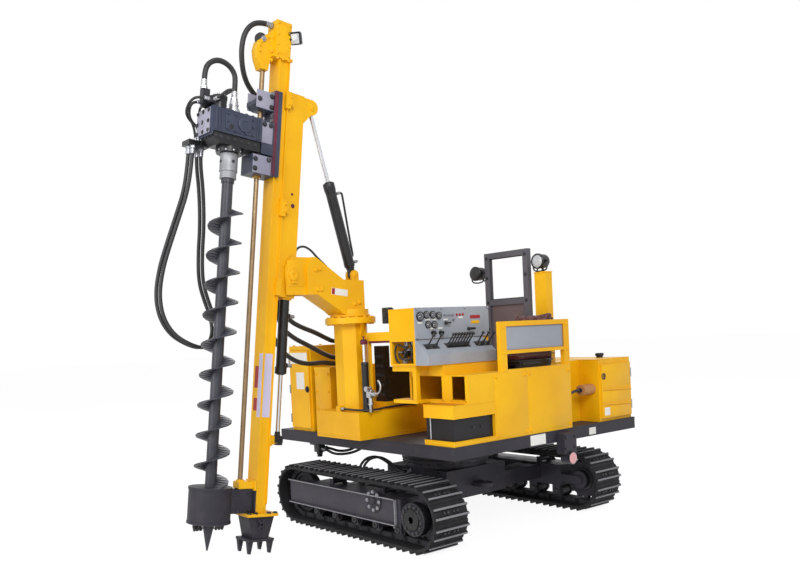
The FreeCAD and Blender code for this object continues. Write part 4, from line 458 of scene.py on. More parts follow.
def hose_curve(name, points, radius, material, sides=4):
    curve = bpy.data.curves.new(name, "CURVE")
    curve.dimensions = "3D"
    spline = curve.splines.new("NURBS")
    spline.points.add(len(points) - 1)
    for point, place in zip(spline.points, points):
        point.co = (*place, 1.0)
    spline.order_u = 3
    spline.use_endpoint_u = True
    spline.resolution_u = 10
    curve.bevel_depth = radius
    curve.bevel_resolution = sides
    curve.use_fill_caps = True
    curve.materials.append(material)
    hose = bpy.data.objects.new(name, curve)
    bpy.context.scene.collection.objects.link(hose)
    return hose


def length_of(hose):
    """Length along the curve itself, read from it as a line with no thickness."""
    bare = hose.copy()
    bare.data = hose.data.copy()
    bare.data.bevel_depth = 0.0
    mesh = bpy.data.meshes.new_from_object(bare)
    total = sum((mesh.vertices[a].co - mesh.vertices[b].co).length
                for a, b in (e.vertices for e in mesh.edges))
    bpy.data.meshes.remove(mesh)
    bpy.data.curves.remove(bare.data)
    return total


print("mast axis", [round(v, 3) for v in MAST_AXIS])

# %% The two long hoses of the drill head
LOOP_END = 794.7
LOOP_ROUTE = [
    (735, -112, LOOP_END), (735, -112, 690), (746, -121, 494), (780, -149, 323), (818, -180, 139),
    (851, -207, -37), (859, -226, -216), (827, -213, -368), (752, -190, -475), (651, -160, -531),
    (542, -165, -552), (456, -195, -513), (409, -233, -428), (422, -256, -319), (473, -266, -209),
    (524, -265, -84), (550, -245, 98), (568, -207, 300), (607, -175, 530), (658, -142, 700),
    (658, -142, LOOP_END),
]
HOSE_SHIFT = {"head_hose_a": (0, 0), "head_hose_b": (14, -33)}
LONG_HOSES = {}
for node, (forward, side) in HOSE_SHIFT.items():
    points = [on_mast(d + forward, y + side, s) for d, y, s in LOOP_ROUTE]
    hose = hose_curve("flexible_" + node, points, 0.013, HOSE, sides=5)
    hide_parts(node)
    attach(hose, "carriage")
    LONG_HOSES[node] = hose
    print(node, "length", round(length_of(hose), 3))

# %% [markdown]
# Cells from here on add pieces. Three shapes cover most of them: a rounded plate, a turned part and
# a copy of a modelled fastener. Each uses the operators that a modeller would click.

# %% Modelling helpers


def clear():
    bpy.ops.object.select_all(action="DESELECT")


def finish(piece, name, body, material=None, smooth=True, angle=35):
    """Name a piece, settle its place into its mesh, and let it ride on a body."""
    clear()
    piece.select_set(True)
    bpy.context.view_layer.objects.active = piece
    bpy.ops.object.transform_apply(location=True, rotation=True, scale=True)
    if smooth:
        bpy.ops.object.shade_smooth_by_angle(angle=math.radians(angle))
    piece.name = name
    piece.data.name = name
    if material:
        piece.data.materials.clear()
        piece.data.materials.append(material)
    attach(piece, body)
    piece.select_set(False)
    return piece


def rounded(low, high, edge=2.0, segments=2):
    """A block between two corners in millimetres, with its edges bevelled."""
    clear()
    middle = [(a + b) / 2 * MM for a, b in zip(low, high)]
    size = [abs(b - a) * MM for a, b in zip(low, high)]
    bpy.ops.mesh.primitive_cube_add(size=1, location=middle)
    piece = bpy.context.object
    piece.scale = size
    bpy.ops.object.transform_apply(location=True, rotation=True, scale=True)
    bpy.ops.object.mode_set(mode="EDIT")
    bpy.ops.mesh.select_all(action="SELECT")
    bpy.ops.mesh.bevel(offset=min(edge * MM, min(size) * 0.45), segments=segments, affect="EDGES")
    bpy.ops.object.mode_set(mode="OBJECT")
    return piece


def turned(steps, at, along, sides=24, hollow=False):
    """A turned part: a circle extruded and scaled through (height, radius) steps, then stood on its axis.

    A hollow one is a ring: its steps come back to where they began, and the seam is welded."""
    clear()
    height, radius = steps[0]
    fill = "NOTHING" if hollow else "NGON"
    bpy.ops.mesh.primitive_circle_add(vertices=sides, radius=radius * MM, fill_type=fill, location=(0, 0, 0))
    piece = bpy.context.object
    bpy.ops.object.mode_set(mode="EDIT")
    bpy.ops.mesh.select_all(action="SELECT")
    rise = 0.0
    for (h0, r0), (h1, r1) in zip(steps, steps[1:]):
        rise += (h1 - h0) * MM
        bpy.ops.mesh.extrude_region_move(TRANSFORM_OT_translate={"value": (0, 0, (h1 - h0) * MM)})
        if r1 != r0:
            bpy.ops.transform.resize(value=(r1 / r0, r1 / r0, 1), center_override=(0, 0, rise))
    bpy.ops.mesh.select_all(action="SELECT")
    if hollow:
        bpy.ops.mesh.remove_doubles(threshold=0.00002)
    bpy.ops.mesh.normals_make_consistent(inside=False)
    bpy.ops.object.mode_set(mode="OBJECT")
    stand(piece, Vector(at) + Vector(along).normalized() * height * MM, along)
    return piece


def stand(piece, at, along):
    """Turn a piece's own height onto a direction, and put its foot at a place in metres."""
    turn = Vector((0, 0, 1)).rotation_difference(Vector(along).normalized())
    piece.data.transform(Matrix.Translation(Vector(at)) @ turn.to_matrix().to_4x4())
    piece.data.update()


def merge(pieces):
    """Join pieces into the first one."""
    clear()
    for item in pieces:
        item.select_set(True)
    bpy.context.view_layer.objects.active = pieces[0]
    if len(pieces) > 1:
        bpy.ops.object.join()
    return pieces[0]


def twin_of(model):
    """A copy with its own mesh."""
    twin = model.copy()
    twin.data = model.data.copy()
    bpy.context.scene.collection.objects.link(twin)
    return twin


def copies(model, places, name, body, material=None):
    """Copy a modelled part to (place, direction) pairs in metres, and join the copies."""
    made = []
    for at, along in places:
        twin = twin_of(model)
        stand(twin, at, along)
        made.append(twin)
    return finish(merge(made), name, body, material)


def put_away(*models):
    """Delete the models that copies were taken from."""
    for model in models:
        bpy.data.objects.remove(model)


def ring_of(centre, along, radius, count, phase=0.0):
    """Evenly spaced places round an axis, all facing along it, in metres."""
    along = Vector(along).normalized()
    side = along.orthogonal().normalized()
    other = along.cross(side)
    turns = [phase + 2 * math.pi * k / count for k in range(count)]
    return [(Vector(centre) + (side * math.cos(t) + other * math.sin(t)) * radius * MM, along) for t in turns]


def hex_bolt(size):
    """A hexagon head with a chamfered top on a round washer, its thread size in millimetres."""
    head = turned([(0, size * 0.9), (size * 0.62, size * 0.9), (size * 0.7, size * 0.76)],
                  (0, 0, 0), (0, 0, 1), 6)
    washer = turned([(-size * 0.02, size * 1.15), (size * 0.13, size * 1.15), (size * 0.16, size * 1.08)],
                    (0, 0, 0), (0, 0, 1), 16)
    return merge([head, washer])


def cap_screw(size):
    """A round socket head with a chamfered rim."""
    steps = [(0, size * 0.78), (size * 0.85, size * 0.78), (size * 0.95, size * 0.68)]
    return turned(steps, (0, 0, 0), (0, 0, 1), 12)


BOLT_16 = hex_bolt(16)
BOLT_12 = hex_bolt(12)
SCREW_10 = cap_screw(10)
print("bolt faces", len(BOLT_16.data.polygons))

# %% [markdown]
# Most pieces are a few of these shapes, joined, named and given a finish, so two short helpers do that:
# one for the machine's own frame and one for the mast's, which leans. Bolts have a helper of their own.

# %% Helpers for joined pieces and bolts
UP, LEFT, AHEAD = Vector((0, 0, 1)), Vector((0, 1, 0)), Vector((1, 0, 0))
MAST = Matrix.Translation(PIVOT) @ Matrix.Rotation(-MAST_LEAN, 4, "Y")
MAST_TURN = MAST.to_3x3()


def mm(x, y, z):
    return Vector((x, y, z)) * MM


def spots(points, along):
    """(place, direction) pairs from points in millimetres."""
    return [(mm(*point), Vector(along)) for point in points]


def mast_spots(points, along):
    """The same from points and a direction in the mast's own frame."""
    return leaned(spots(points, along))


def line(points):
    """Places in metres from points in millimetres."""
    return [mm(*point) for point in points]


def mast_line(points):
    """The same from points in the mast's own frame."""
    return [MAST @ mm(*point) for point in points]


def leaned(places):
    """Carry (place, direction) pairs from the mast's own frame to where the mast stands."""
    return [(MAST @ at, MAST_TURN @ along) for at, along in places]


def fit(name, material, parts, body="upper"):
    """Join one part or a list of them, and name and finish the result."""
    return finish(merge(parts if isinstance(parts, list) else [parts]), name, body, material)


def lean(name, material, parts, body="carriage"):
    """The same for parts that were made in the mast's own frame."""
    joined = merge(parts if isinstance(parts, list) else [parts])
    joined.data.transform(MAST)
    return finish(joined, name, body, material)


def bolts(name, material, points, along, model=BOLT_12, body="upper", mirror=None):
    """Fasteners at points in millimetres; with a mirror plane's y, the far side gets the same ones."""
    where = spots(points, along)
    if mirror is not None:
        where += spots([(x, 2 * mirror - y, z) for x, y, z in points], -Vector(along))
    return copies(model, where, name, body, material)


def mast_bolts(name, material, points, along, model=BOLT_12, body="carriage", both=False):
    """The same in the mast's own frame; both adds the mast's far side."""
    where = mast_spots(points, along)
    if both:
        where += mast_spots([(d, -y, s) for d, y, s in points], -Vector(along))
    return copies(model, where, name, body, material)


def blocks(edge, segments, *rows):
    """Bevelled blocks, each given as its two corners in one row of six millimetres."""
    return [rounded(row[:3], row[3:], edge, segments) for row in rows]


def spun(piece, pivot, axis, degrees):
    """Turn a piece's mesh about a line through a place in millimetres."""
    pivot = mm(*pivot)
    turn = Matrix.Rotation(math.radians(degrees), 4, Vector(axis))
    piece.data.transform(Matrix.Translation(pivot) @ turn @ Matrix.Translation(-pivot))
    return piece


# %% [markdown]
# The operator reads pressures on glycerine-filled gauges. Each is a pressed black bezel with a sunken
# dark dial, eleven white marks and a needle. The bezel is one disc extruded up, in and down again,
# and the marks are one small bar copied round the dial over three quarters of a turn.

# %% Gauges on the control panel
FACE_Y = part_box("gauge_panel")[1][1] / MM
GAUGES = [(858, 1596, 33), (798, 1606, 26), (738, 1604, 26), (680, 1598, 25), (785, 1538, 26),
          (726, 1536, 26)]
MARKS = 11
rims, faces, marks = [], [], []
tick = rounded((-1.3, 0, 0), (1.3, 1.2, 6), 0.4, 1)
for x, z, r in GAUGES:
    at = mm(x, FACE_Y - 1, z)
    rims.append(turned([(0, r), (11, r), (13, r * 0.93), (13, r * 0.82), (8, r * 0.8)], at, LEFT, 32))
    faces.append(turned([(6, r * 0.79), (9, r * 0.79)], at, LEFT, 32))
    for k in range(MARKS + 1):
        needle = k == MARKS
        turn = Matrix.Rotation(math.radians(60 + r if needle else 135 - 27 * k), 4, "Y")
        reach = Matrix.Translation((0, 0, (-2 if needle else r * 0.62) * MM))
        grow = Matrix.Diagonal((1, 1, r * 0.1 if needle else 1, 1))
        lift = Matrix.Translation(at + mm(0, 9.6 if needle else 9, 0))
        mark = twin_of(tick)
        mark.data.transform(lift @ turn @ reach @ grow)
        marks.append(mark)
put_away(tick)
fit("gauge_bezels", BLACK, rims)
fit("gauge_dials", DIAL_FACE, faces)
fit("gauge_marks_and_needles", WHITE_PAINT, marks)
print("gauges", len(GAUGES))

# %% [markdown]
# Around the gauges sit knobs, toggle switches, a selector bar and blank name plates.
# They are what the hand meets, so each gets its own turned shape instead of a peg.

# %% Knobs, switches and plates
HERE = (0, 0, 0)
knob = turned([(0, 17), (3, 17), (4, 12), (12, 12), (14, 15), (26, 14), (28, 11)], HERE, UP, 20)
toggle = turned([(0, 11), (3, 11), (4, 7), (9, 6.5), (10, 3), (26, 4.5), (28, 3)], HERE, UP, 14)
lamp = turned([(0, 9), (3, 9), (4, 7), (8, 6), (10, 3)], HERE, UP, 16)
bolts("panel_knobs", GRIP, [(741, FACE_Y, 1480), (667, FACE_Y, 1478)], LEFT, knob)
switches = [(548, FACE_Y, 1600), (540, FACE_Y, 1566), (586, FACE_Y, 1600), (622, FACE_Y, 1600)]
bolts("toggle_switches", BOLT_STEEL, switches, LEFT, toggle)
bolts("tell_tales", RED_PAINT, [(x, FACE_Y, 1600) for x in (500, 470, 440)], LEFT, lamp)
put_away(knob, toggle, lamp)
fit("selector_bar", GRIP, [
    turned([(0, 13), (6, 13), (7, 9), (18, 9)], mm(612, FACE_Y, 1545), LEFT, 18),
    rounded((580, FACE_Y + 16, 1539), (644, FACE_Y + 27, 1551), 4)])
fit("stop_handle", GRIP, [
    turned([(0, 12), (4, 12), (5, 8), (34, 8)], mm(388, FACE_Y, 1498), LEFT, 18),
    rounded((356, FACE_Y + 30, 1489), (420, FACE_Y + 48, 1507), 7, 3)])
fit("red_plate", RED_PAINT, rounded((262, FACE_Y - 0.5, 1570), (366, FACE_Y + 2.5, 1593), 1, 1))
fit("yellow_plate", YELLOW, rounded((272, FACE_Y - 0.5, 1533), (356, FACE_Y + 2, 1554), 1, 1))
PLATES_AT = [(836, 1546), (763, 1566), (704, 1566), (719, 1505), (645, 1505), (590, 1563), (440, 1575)]
fit("blank_name_plates", WHITE_PAINT, blocks(0.8, 1, *(
    (x, FACE_Y - 0.5, z, x + 44, FACE_Y + 1.6, z + 11) for x, z in PLATES_AT)))
edge = [(x, FACE_Y, z) for z in (1450, 1647) for x in (182, 420, 650, 888)]
bolts("panel_screws", BOLT_STEEL, edge, LEFT, SCREW_10)
print("panel pieces placed")

# %% [markdown]
# Each lever rises from a rubber bellows that keeps water out of the valves below it. A bellows is a
# stack of folds, so its outline goes in and out as it climbs. The levers stand on a sloping shelf,
# and their plates are slotted guides screwed to it.

# %% Lever bellows and gates
SHELF_RISE, SHELF_RUN = 105.0, 128.0
SLOPE = math.atan2(SHELF_RISE, SHELF_RUN)
OUT = Vector((0, math.sin(SLOPE), math.cos(SLOPE)))
LEVERS = [845, 772] + [655 - 28 * k for k in range(8)] + [360, 302, 244]
FOOT_Y, FOOT_Z = 736.0, 1387.5
FOLDS = [(-1, 12), (2, 12.5), (5, 9), (9, 12), (12, 8.5), (16, 11), (19, 7.5), (23, 9), (26, 6)]
boot = turned(FOLDS, HERE, UP, 14)
bolts("lever_bellows", BELLOWS, [(x, FOOT_Y, FOOT_Z) for x in LEVERS], OUT, boot)
put_away(boot)
gates = blocks(1.5, 1, *((low, FOOT_Y - 26, FOOT_Z - 0.5, high, FOOT_Y + 26, FOOT_Z + 2.5)
                         for low, high in ((745, 872), (440, 674), (234, 380))))
for gate in gates:
    spun(gate, (0, FOOT_Y, FOOT_Z), AHEAD, -math.degrees(SLOPE))
fit("lever_gate_plates", BLACK, gates)
print("levers dressed", len(LEVERS))

# %% [markdown]
# Every hydraulic hose ends in a steel fitting: a hexagon nut that turns on the port, and a ribbed
# sleeve crimped over the rubber. One is turned for each hose size and copied to all of its ends.

# %% Hose fittings
CRIMP = [(1.0, 1.22), (1.5, 1.42), (1.9, 1.42), (2.0, 1.3), (2.3, 1.3), (2.4, 1.42), (3.0, 1.42), (3.1, 1.3),
         (3.4, 1.3), (3.5, 1.42), (4.1, 1.42), (4.3, 1.16)]


def fit_hoses(name, radius, places, body="upper", material=BOLT_STEEL):
    """A swivel nut with its crimped sleeve at each place, for hoses of one radius."""
    nut = [(-0.5 / radius, 1.62), (1.15, 1.62), (1.3, 1.4)]
    steps = [[(h * radius, r * radius) for h, r in shape] for shape in (nut, CRIMP)]
    model = merge([turned(steps[0], HERE, UP, 6), turned(steps[1], HERE, UP, 16)])
    copies(model, places, name, body, material)
    put_away(model)


HEAD_PORTS = [(d, y, LOOP_END) for d, y in ((735, -112), (658, -142), (749, -145), (672, -175))]
fit_hoses("long_hose_fittings", 13, mast_spots(HEAD_PORTS, -UP), "carriage")
fit_hoses("arch_hose_fittings", 15, mast_spots([(505, 0, 1128), (735, 0, 1150)], UP), "carriage", GALVANISED)
fit_hoses("mast_hose_fittings", 14, mast_spots([(232.3, 0, 1735), (160.3, -126, 1250)], AHEAD), "mast")
BOOM_PORTS = [(x, -152, 1849.7) for x in (1400, 1440, 1480)] + [
    (x, y, 1699.7) for x, y in ((759, -252), (719, -222), (686, -184))]
fit_hoses("boom_hose_fittings", 13, spots(BOOM_PORTS, -UP), "boom")
fit_hoses("boom_top_fittings", 8, spots([(1300, -127, 2058.3), (974, -116, 1900.5)], UP), "boom")
fit_hoses("track_hose_fittings", 10, spots([(330.3, -60, 395), (330.3, -104, 395)], AHEAD)
          + spots([(665, -250, 342.3), (665, -294, 342.3)], UP), "undercarriage")
fit_hoses("deck_hose_fittings", 8, spots([(460.3, 182, 950)], AHEAD) + spots([(1008, -39.7, 948)], LEFT)
          + spots([(800, 470, 1275), (850, 500, 1275), (812, 590, 1275)], UP)
          + spots([(820, 490, 1428), (838, 526, 1428), (836, 576, 1428)], -UP))
print("hose ends dressed")


def tube(name, points, radius, body="upper", material=HOSE, sides=2):
    """A fixed hose or rod bent along a smooth line through points in metres, kept as a mesh."""
    curve = hose_curve(name, points, radius, material, sides)
    curve.data.resolution_u = 6
    mesh = bpy.data.meshes.new_from_object(curve)
    bpy.data.objects.remove(curve)
    piece = bpy.data.objects.new(name, mesh)
    bpy.context.scene.collection.objects.link(piece)
    return finish(piece, name, body, material, angle=60)


def tubes(name, routes, radius, body="upper", place=line, sides=2):
    """Numbered hoses along routes in millimetres."""
    for number, route in enumerate(routes, 1):
        tube(f"{name}_{number}", place(route), radius, body, HOSE, sides)


# %% [markdown]
# The drill head is a cast gearbox with two hydraulic motors on top and a swivel for the flushing
# hose. A casting shows its joints: a cover ringed with screws, ribs that stiffen the side, an oil
# window, plugs and a flange under the nose. They go over the plain solids, standing 2 to 16 mm out.

# %% Gearbox casting
GEAR_SIDE = 98.0
covers = []
for side in (-1, 1):
    y0, y1, y2 = (side * (GEAR_SIDE + out) for out in (-1, 5, 8))
    covers.append(rounded((392, y0, 884), (612, y1, 1008), 6, 3))
    covers.append(turned([(0, 50), (9, 50), (12, 44), (12, 26), (8, 24)], mm(470, y1, 946), LEFT * side, 28))
    covers += blocks(2.5, 1, *((d - 4, y0, 872, d + 4, y2, 1018) for d in (348, 366, 640, 662, 684)))
lean("gearbox_covers_and_ribs", SLATE, covers)
rim = [(d, s) for d in (404, 600) for s in (896, 946, 996)]
rim += [(458, 1000), (540, 1000), (540, 892), (458, 892)]
mast_bolts("cover_screws", SLATE, [(d, GEAR_SIDE + 5, s) for d, s in rim], LEFT, SCREW_10, both=True)
lean("oil_window", DARK_BOLT,
     turned([(0, 15), (5, 15), (6, 12), (6, 10), (4, 9.6)], mm(572, GEAR_SIDE + 4, 912), LEFT, 20))
top = [(d, y, 1025) for d in (350, 400, 450, 560, 600) for y in (-84, 84)] + [(350, 0, 1025)]
mast_bolts("gearbox_top_bolts", SLATE, top, UP)
lean("gearbox_breather", BRASS,
     turned([(0, 12), (10, 12), (11, 18), (24, 18), (28, 12)], mm(408, -40, 1025), UP, 18))
lean("gearbox_end_plate", LILAC, [
    rounded((721, -88, 846), (727, 88, 1012), 2.5, 2),
    turned([(0, 30), (5, 30), (7, 27), (7, 18), (1, 17)], mm(726, 0, 924), AHEAD, 28)])
lean("end_plate_bore", GRIP, turned([(0, 17), (3, 17)], mm(727, 0, 924), AHEAD, 20))
corners = [(727, y, s) for y in (-74, 74) for s in (862, 924, 996)] + [(727, 0, 862), (727, 0, 996)]
mast_bolts("end_plate_bolts", DARK_BOLT, corners, AHEAD)
print("gearbox dressed")

# %% Lower housing, nose and swivel
row = [(d, 86, 836) for d in (372, 424, 476, 528, 580, 632, 672)]
mast_bolts("housing_side_bolts", DARK_BOLT, row, LEFT, both=True)
mast_bolts("housing_front_bolts", DARK_BOLT, [(690, y, 836) for y in (-66, -22, 22, 66)], AHEAD)
lean("nose_flange", BLACK,
     turned([(0, 88), (-3, 93), (-14, 93), (-17, 88), (-17, 74), (-26, 70)], mm(519, 0, 790), UP, 36))
copies(BOLT_12, leaned(ring_of(mm(519, 0, 773), -UP, 82, 10)), "nose_bolts", "carriage", BOLT_STEEL)
lean("swivel_sleeve", GALVANISED,
     turned([(0, 50), (6, 50), (8, 45.5), (22, 45.5), (23, 47.5), (29, 47.5), (30, 45.5), (35, 45), (39, 34),
             (39, 20)], mm(505, 0, 1025), UP, 32))
print("housing dressed")

# %% [markdown]
# The two motors are gerotor motors: a round can of stacked plates held by long bolts, with a port
# block across the front. Short hoses loop from the ports down to the manifold at the head's side.

# %% Motors and their hoses
CAN = [(0, 52), (8, 52), (9, 46.6), (22, 46.6), (23, 49), (31, 49), (32, 46.6), (44, 46.6), (45, 49),
       (53, 49), (54, 46.6), (64, 46.6), (65, 51), (86, 51), (89, 47), (89, 22), (94, 20), (97, 12)]
screws = []
for index, y in enumerate((-50, 50)):
    lean(f"motor_plates_{index + 1}", BLACK, turned(CAN, mm(640, y, 1024), UP, 28))
    screws += ring_of(mm(640, y, 1113), UP, 37, 6)
copies(SCREW_10, leaned(screws), "motor_bolts", "carriage", BOLT_STEEL)
LINKS = [
    [(716, -52, 1074), (780, -52, 1074), (806, -60, 1010), (760, -120, 960), (690, -120, 920),
     (690, -120, 829)],
    [(716, 52, 1074), (800, 52, 1074), (836, 0, 1040), (806, -110, 985), (700, -165, 950), (690, -165, 829)],
    [(690, -74, 1074), (690, -130, 1074), (680, -160, 1020), (650, -120, 950), (650, -120, 829)],
    [(690, 74, 1074), (690, 136, 1074), (640, 150, 1130), (560, 96, 1166), (560, -60, 1166),
     (590, -150, 1120), (650, -165, 1000), (650, -165, 829)],
]
PORTS = [route[0] for route in LINKS]
fit_hoses("motor_front_fittings", 9, mast_spots(PORTS[:2], AHEAD), "carriage", GALVANISED)
side_ports = mast_spots([PORTS[2]], -LEFT) + mast_spots([PORTS[3]], LEFT)
fit_hoses("motor_side_fittings", 9, side_ports, "carriage", GALVANISED)
manifold = [(d, y, 829) for y in (-120, -165) for d in (650, 690)]
fit_hoses("manifold_fittings", 9, mast_spots(manifold, UP), "carriage", GALVANISED)
tubes("motor_hose", LINKS, 0.009, "carriage", mast_line)
print("motor hoses", len(LINKS))

# %% [markdown]
# The feed carriage slides on the mast. Its face plate is framed by two dark red wear strips, and
# pale bolted keeper plates hold the bushes of the round guide bar above and below.

# %% Feed carriage
strips = []
for side in (-1, 1):
    strips += blocks(2, 1, (224, side * 70, 664, 229, side * 80, 1254),
                     (201, side * 79, 664, 222, side * 83, 1254))
lean("carriage_wear_strips", MAROON_PAINT, strips)
keepers = blocks(5, 2, (236, 77.5, 656, 380, 82, 782), (226, 57, 1114, 366, 62, 1238),
                 (226, -62, 1114, 366, -57, 1238), (236, -68, 656, 380, -63, 782))
keepers += blocks(2, 1, (340, 79, 872, 352, 83, 1018))
keepers += blocks(5, 2, (236, 79, 872, 322, 84, 1018), (236, -84, 872, 322, -79, 1018))
lean("carriage_keeper_plates", LILAC, keepers)
low = [(256, 762), (362, 750), (362, 684)]
cheek = [(254, 1000), (304, 1000)]
near = [(d, 82, s) for d, s in low] + [(244, 62, 1212), (340, 62, 1176), (244, 62, 1136)] + [
    (d, 84, s) for d, s in cheek]
mast_bolts("carriage_bolts_left", DARK_BOLT, near, LEFT, BOLT_16)
far = [(d, -68, s) for d, s in low] + [(d, -84, s) for d, s in cheek]
mast_bolts("carriage_bolts_right", DARK_BOLT, far, -LEFT, BOLT_16)
bushes = [turned([(0, 30), (h, 30), (h + 1, 27), (h + 1, 19)], mm(296, 0, s), UP, 24)
          for s, h in ((784, 12), (1236, 5))]
bushes.append(turned([(0, 30), (10, 30), (13, 26), (13, 19)], mm(296, 0, 654), -UP, 24))
lean("guide_bushes", BRASS, bushes)
face = [(224.5, y, s) for y in (-50, 50) for s in (690, 800, 1050, 1090, 1236)]
mast_bolts("carriage_face_bolts", BOLT_STEEL, face, AHEAD, BOLT_16)
print("carriage dressed")

# %% [markdown]
# The mast is a welded box that slides in the guides of the cradle behind it. What shows on them is
# bolted: guide keepers, a lamp under the mast's head, and a banded plate on the side.
# Bolts are placed from lists of points in the mast's own frame, so that they lean with it.

# %% Mast and cradle fittings
GUIDES = (404, 1160)
SIDES = (-1, 1)
lean("guide_keepers", YELLOW, blocks(2.5, 1, *(
    (70, side * 78, s + 20, 122, side * 81, s + 100) for s in GUIDES for side in SIDES)), "cradle")
mast_bolts("guide_bolts", YELLOW, [(96, 81, s + up) for s in GUIDES for up in (36, 84)], LEFT,
           body="cradle", both=True)
lean("cradle_plugs", MAROON_PAINT, [
    turned([(-0.5, r), (3, r), (5, r * 0.8), (5, r * 0.5), (2, r * 0.45)],
           mm(d, side * 50, s), LEFT * side, 20)
    for r, d, s in ((9, 30, 572), (15, 19, 491)) for side in SIDES], "cradle")
head_bolts = [(d, 58, s) for d in (122, 218) for s in (1530, 1600, 1670, 1750)]
mast_bolts("mast_head_bolts", YELLOW, head_bolts, LEFT, body="mast", both=True)
lean("mast_head_covers", YELLOW, blocks(
    3, 1, (134, 57, 1540, 206, 61, 1740), (134, -61, 1540, 206, -57, 1740),
    (112, -54, 1766, 228, 54, 1771)), "mast")
mast_bolts("mast_flange_nuts", YELLOW, [(d, y, 1497) for d in (124, 170, 216) for y in (-66, 66)],
           -UP, body="mast")
SHEAVE_AT = mm(318, 0, 1610)
lean("bracket_sheave", CHAIN_STEEL,
     turned([(-9, 46), (-8, 50), (-4, 50), (-1, 42), (1, 42), (4, 50), (8, 50), (9, 46), (9, 14)], SHEAVE_AT,
            LEFT, 28), "mast")
lean("sheave_axle", BOLT_STEEL,
     turned([(-37, 17), (-36, 19), (-34, 19), (34, 19), (36, 19), (37, 17), (37, 10), (42, 9)], SHEAVE_AT,
            LEFT, 20), "mast")
side_bolts = [(250, 34, s) for s in (1480, 1540, 1640)] + [(348, 34, s) for s in (1520, 1560)]
mast_bolts("bracket_bolts", YELLOW, side_bolts, LEFT, body="mast", both=True)
print("mast head dressed")

# %% Mast lamp
LAMP_PIVOT = mm(86, 84, 1664)
TURNED = Matrix.Rotation(math.radians(32), 4, "Z") @ Matrix.Rotation(math.radians(24), 4, "Y")
AIM = Matrix.Translation(LAMP_PIVOT) @ TURNED @ Matrix.Translation(-LAMP_PIVOT)
case = merge([rounded((58, 46, 1622), (104, 122, 1706), 9, 3),
              rounded((96, 42, 1704), (118, 126, 1709), 2, 1)])
case.data.transform(AIM)
lean("mast_lamp_case", BLACK, [case, rounded((100, 50, 1650), (122, 74, 1672), 2, 1)], "mast")
glass = rounded((102, 54, 1630), (107, 114, 1698), 4, 2)
glass.data.transform(AIM)
lean("mast_lamp_glass", LAMP_GLASS, glass, "mast")

# %% [markdown]
# Painted bands mark the part of the mast that passes the deck. The plates on them stay blank.
# A thin plate with bevelled edges casts a fine shadow line, which a colour alone wouldn't.

# %% Bands and blank plates
lean("mast_white_plate", PALE_LILAC, [
    rounded((197.4, 6, -1000), (198.25, 50.6, -562), 0.2, 1),
    rounded((119, 49.5, -1000), (198.2, 50.6, -562), 0.3, 1)], "mast")
lean("mast_red_bands", RED_PAINT, blocks(0.2, 1, *(
    (197.4, -40, s0, 198.3, 4, s1) for s0, s1 in ((-800, -650), (-958, -870)))), "mast")
for name, material, low, high in (
        ("boom_white_plate", WHITE_PAINT, (958, 34.4, 1784), (1106, 36.6, 1832)),
        ("boom_red_mark", RED_PAINT, (1076, 35.5, 1786), (1104, 37.4, 1830))):
    fit(name, material, spun(rounded(low, high, 1, 1), (1032, 35, 1808), LEFT, -7), "boom")
fit("front_cabinet_plates", WHITE_PAINT, blocks(
    1, 1, (902, -765, 1070, 904.2, -655, 1206), (902, -842, 1276, 904.2, -603, 1366)), "front_door")
print("plates placed")

# %% [markdown]
# The boom turns on a bolted flange, and the mast on a thick pin held by a keeper plate. Rings of
# bolts are one bolt copied round a circle, which also shows how a flange is laid out.

# %% Boom flange, pins and lugs
BOOM_Y = -60
copies(BOLT_12, ring_of(mm(870, BOOM_Y, 1620), UP, 168, 16), "flange_bolts", "upper", YELLOW)
copies(BOLT_12, ring_of(mm(870, BOOM_Y, 1576), -UP, 168, 16, 0.17), "flange_nuts", "upper", YELLOW)
fit("boom_turning_seal", YELLOW,
    turned([(0, 146), (5, 150), (16, 150), (20, 146), (20, 138)], mm(870, BOOM_Y, 1624), UP, 48), "boom")
bosses, caps = [], []
for side in (1, -1):
    y = BOOM_Y + side * 74
    bosses.append(turned([(0, 52), (3, 52), (5, 49), (5, 43)], mm(1420, y, 1930), LEFT * side, 32))
    caps.append(turned([(11, 41), (15, 41), (18, 36), (18, 15), (14, 13)],
                       mm(1420, y, 1930), LEFT * side, 28))
    caps.append(rounded((1400, y + side * 2, 1868), (1440, y + side * 9, 1900), 3, 1))
fit("boom_pin_bosses", YELLOW, bosses, "boom")
fit("boom_pin_caps", YELLOW, caps, "boom")
fit("boom_cheek_plate", YELLOW, rounded((1296, 13.5, 1850), (1466, 17, 2036), 6, 2), "boom")
bolts("pin_keeper_bolts", YELLOW, [(1410, 23, 1880), (1430, 23, 1880)], LEFT, body="boom", mirror=BOOM_Y)
NECK = [(1200, 1975), (1236, 1968), (1190, 1830), (1226, 1826), (850, 1730), (890, 1722)]
bolts("boom_neck_bolts", YELLOW, [(x, 35, z) for x, z in NECK], LEFT, BOLT_16, "boom", BOOM_Y)
fit("tilt_lug_caps", YELLOW, [
    turned([(0, 22), (5, 22), (7, 19), (7, 8), (10, 7)], mm(833, BOOM_Y + side * 34, 1942), LEFT * side, 20)
    for side in (1, -1)], "boom")
print("boom dressed")

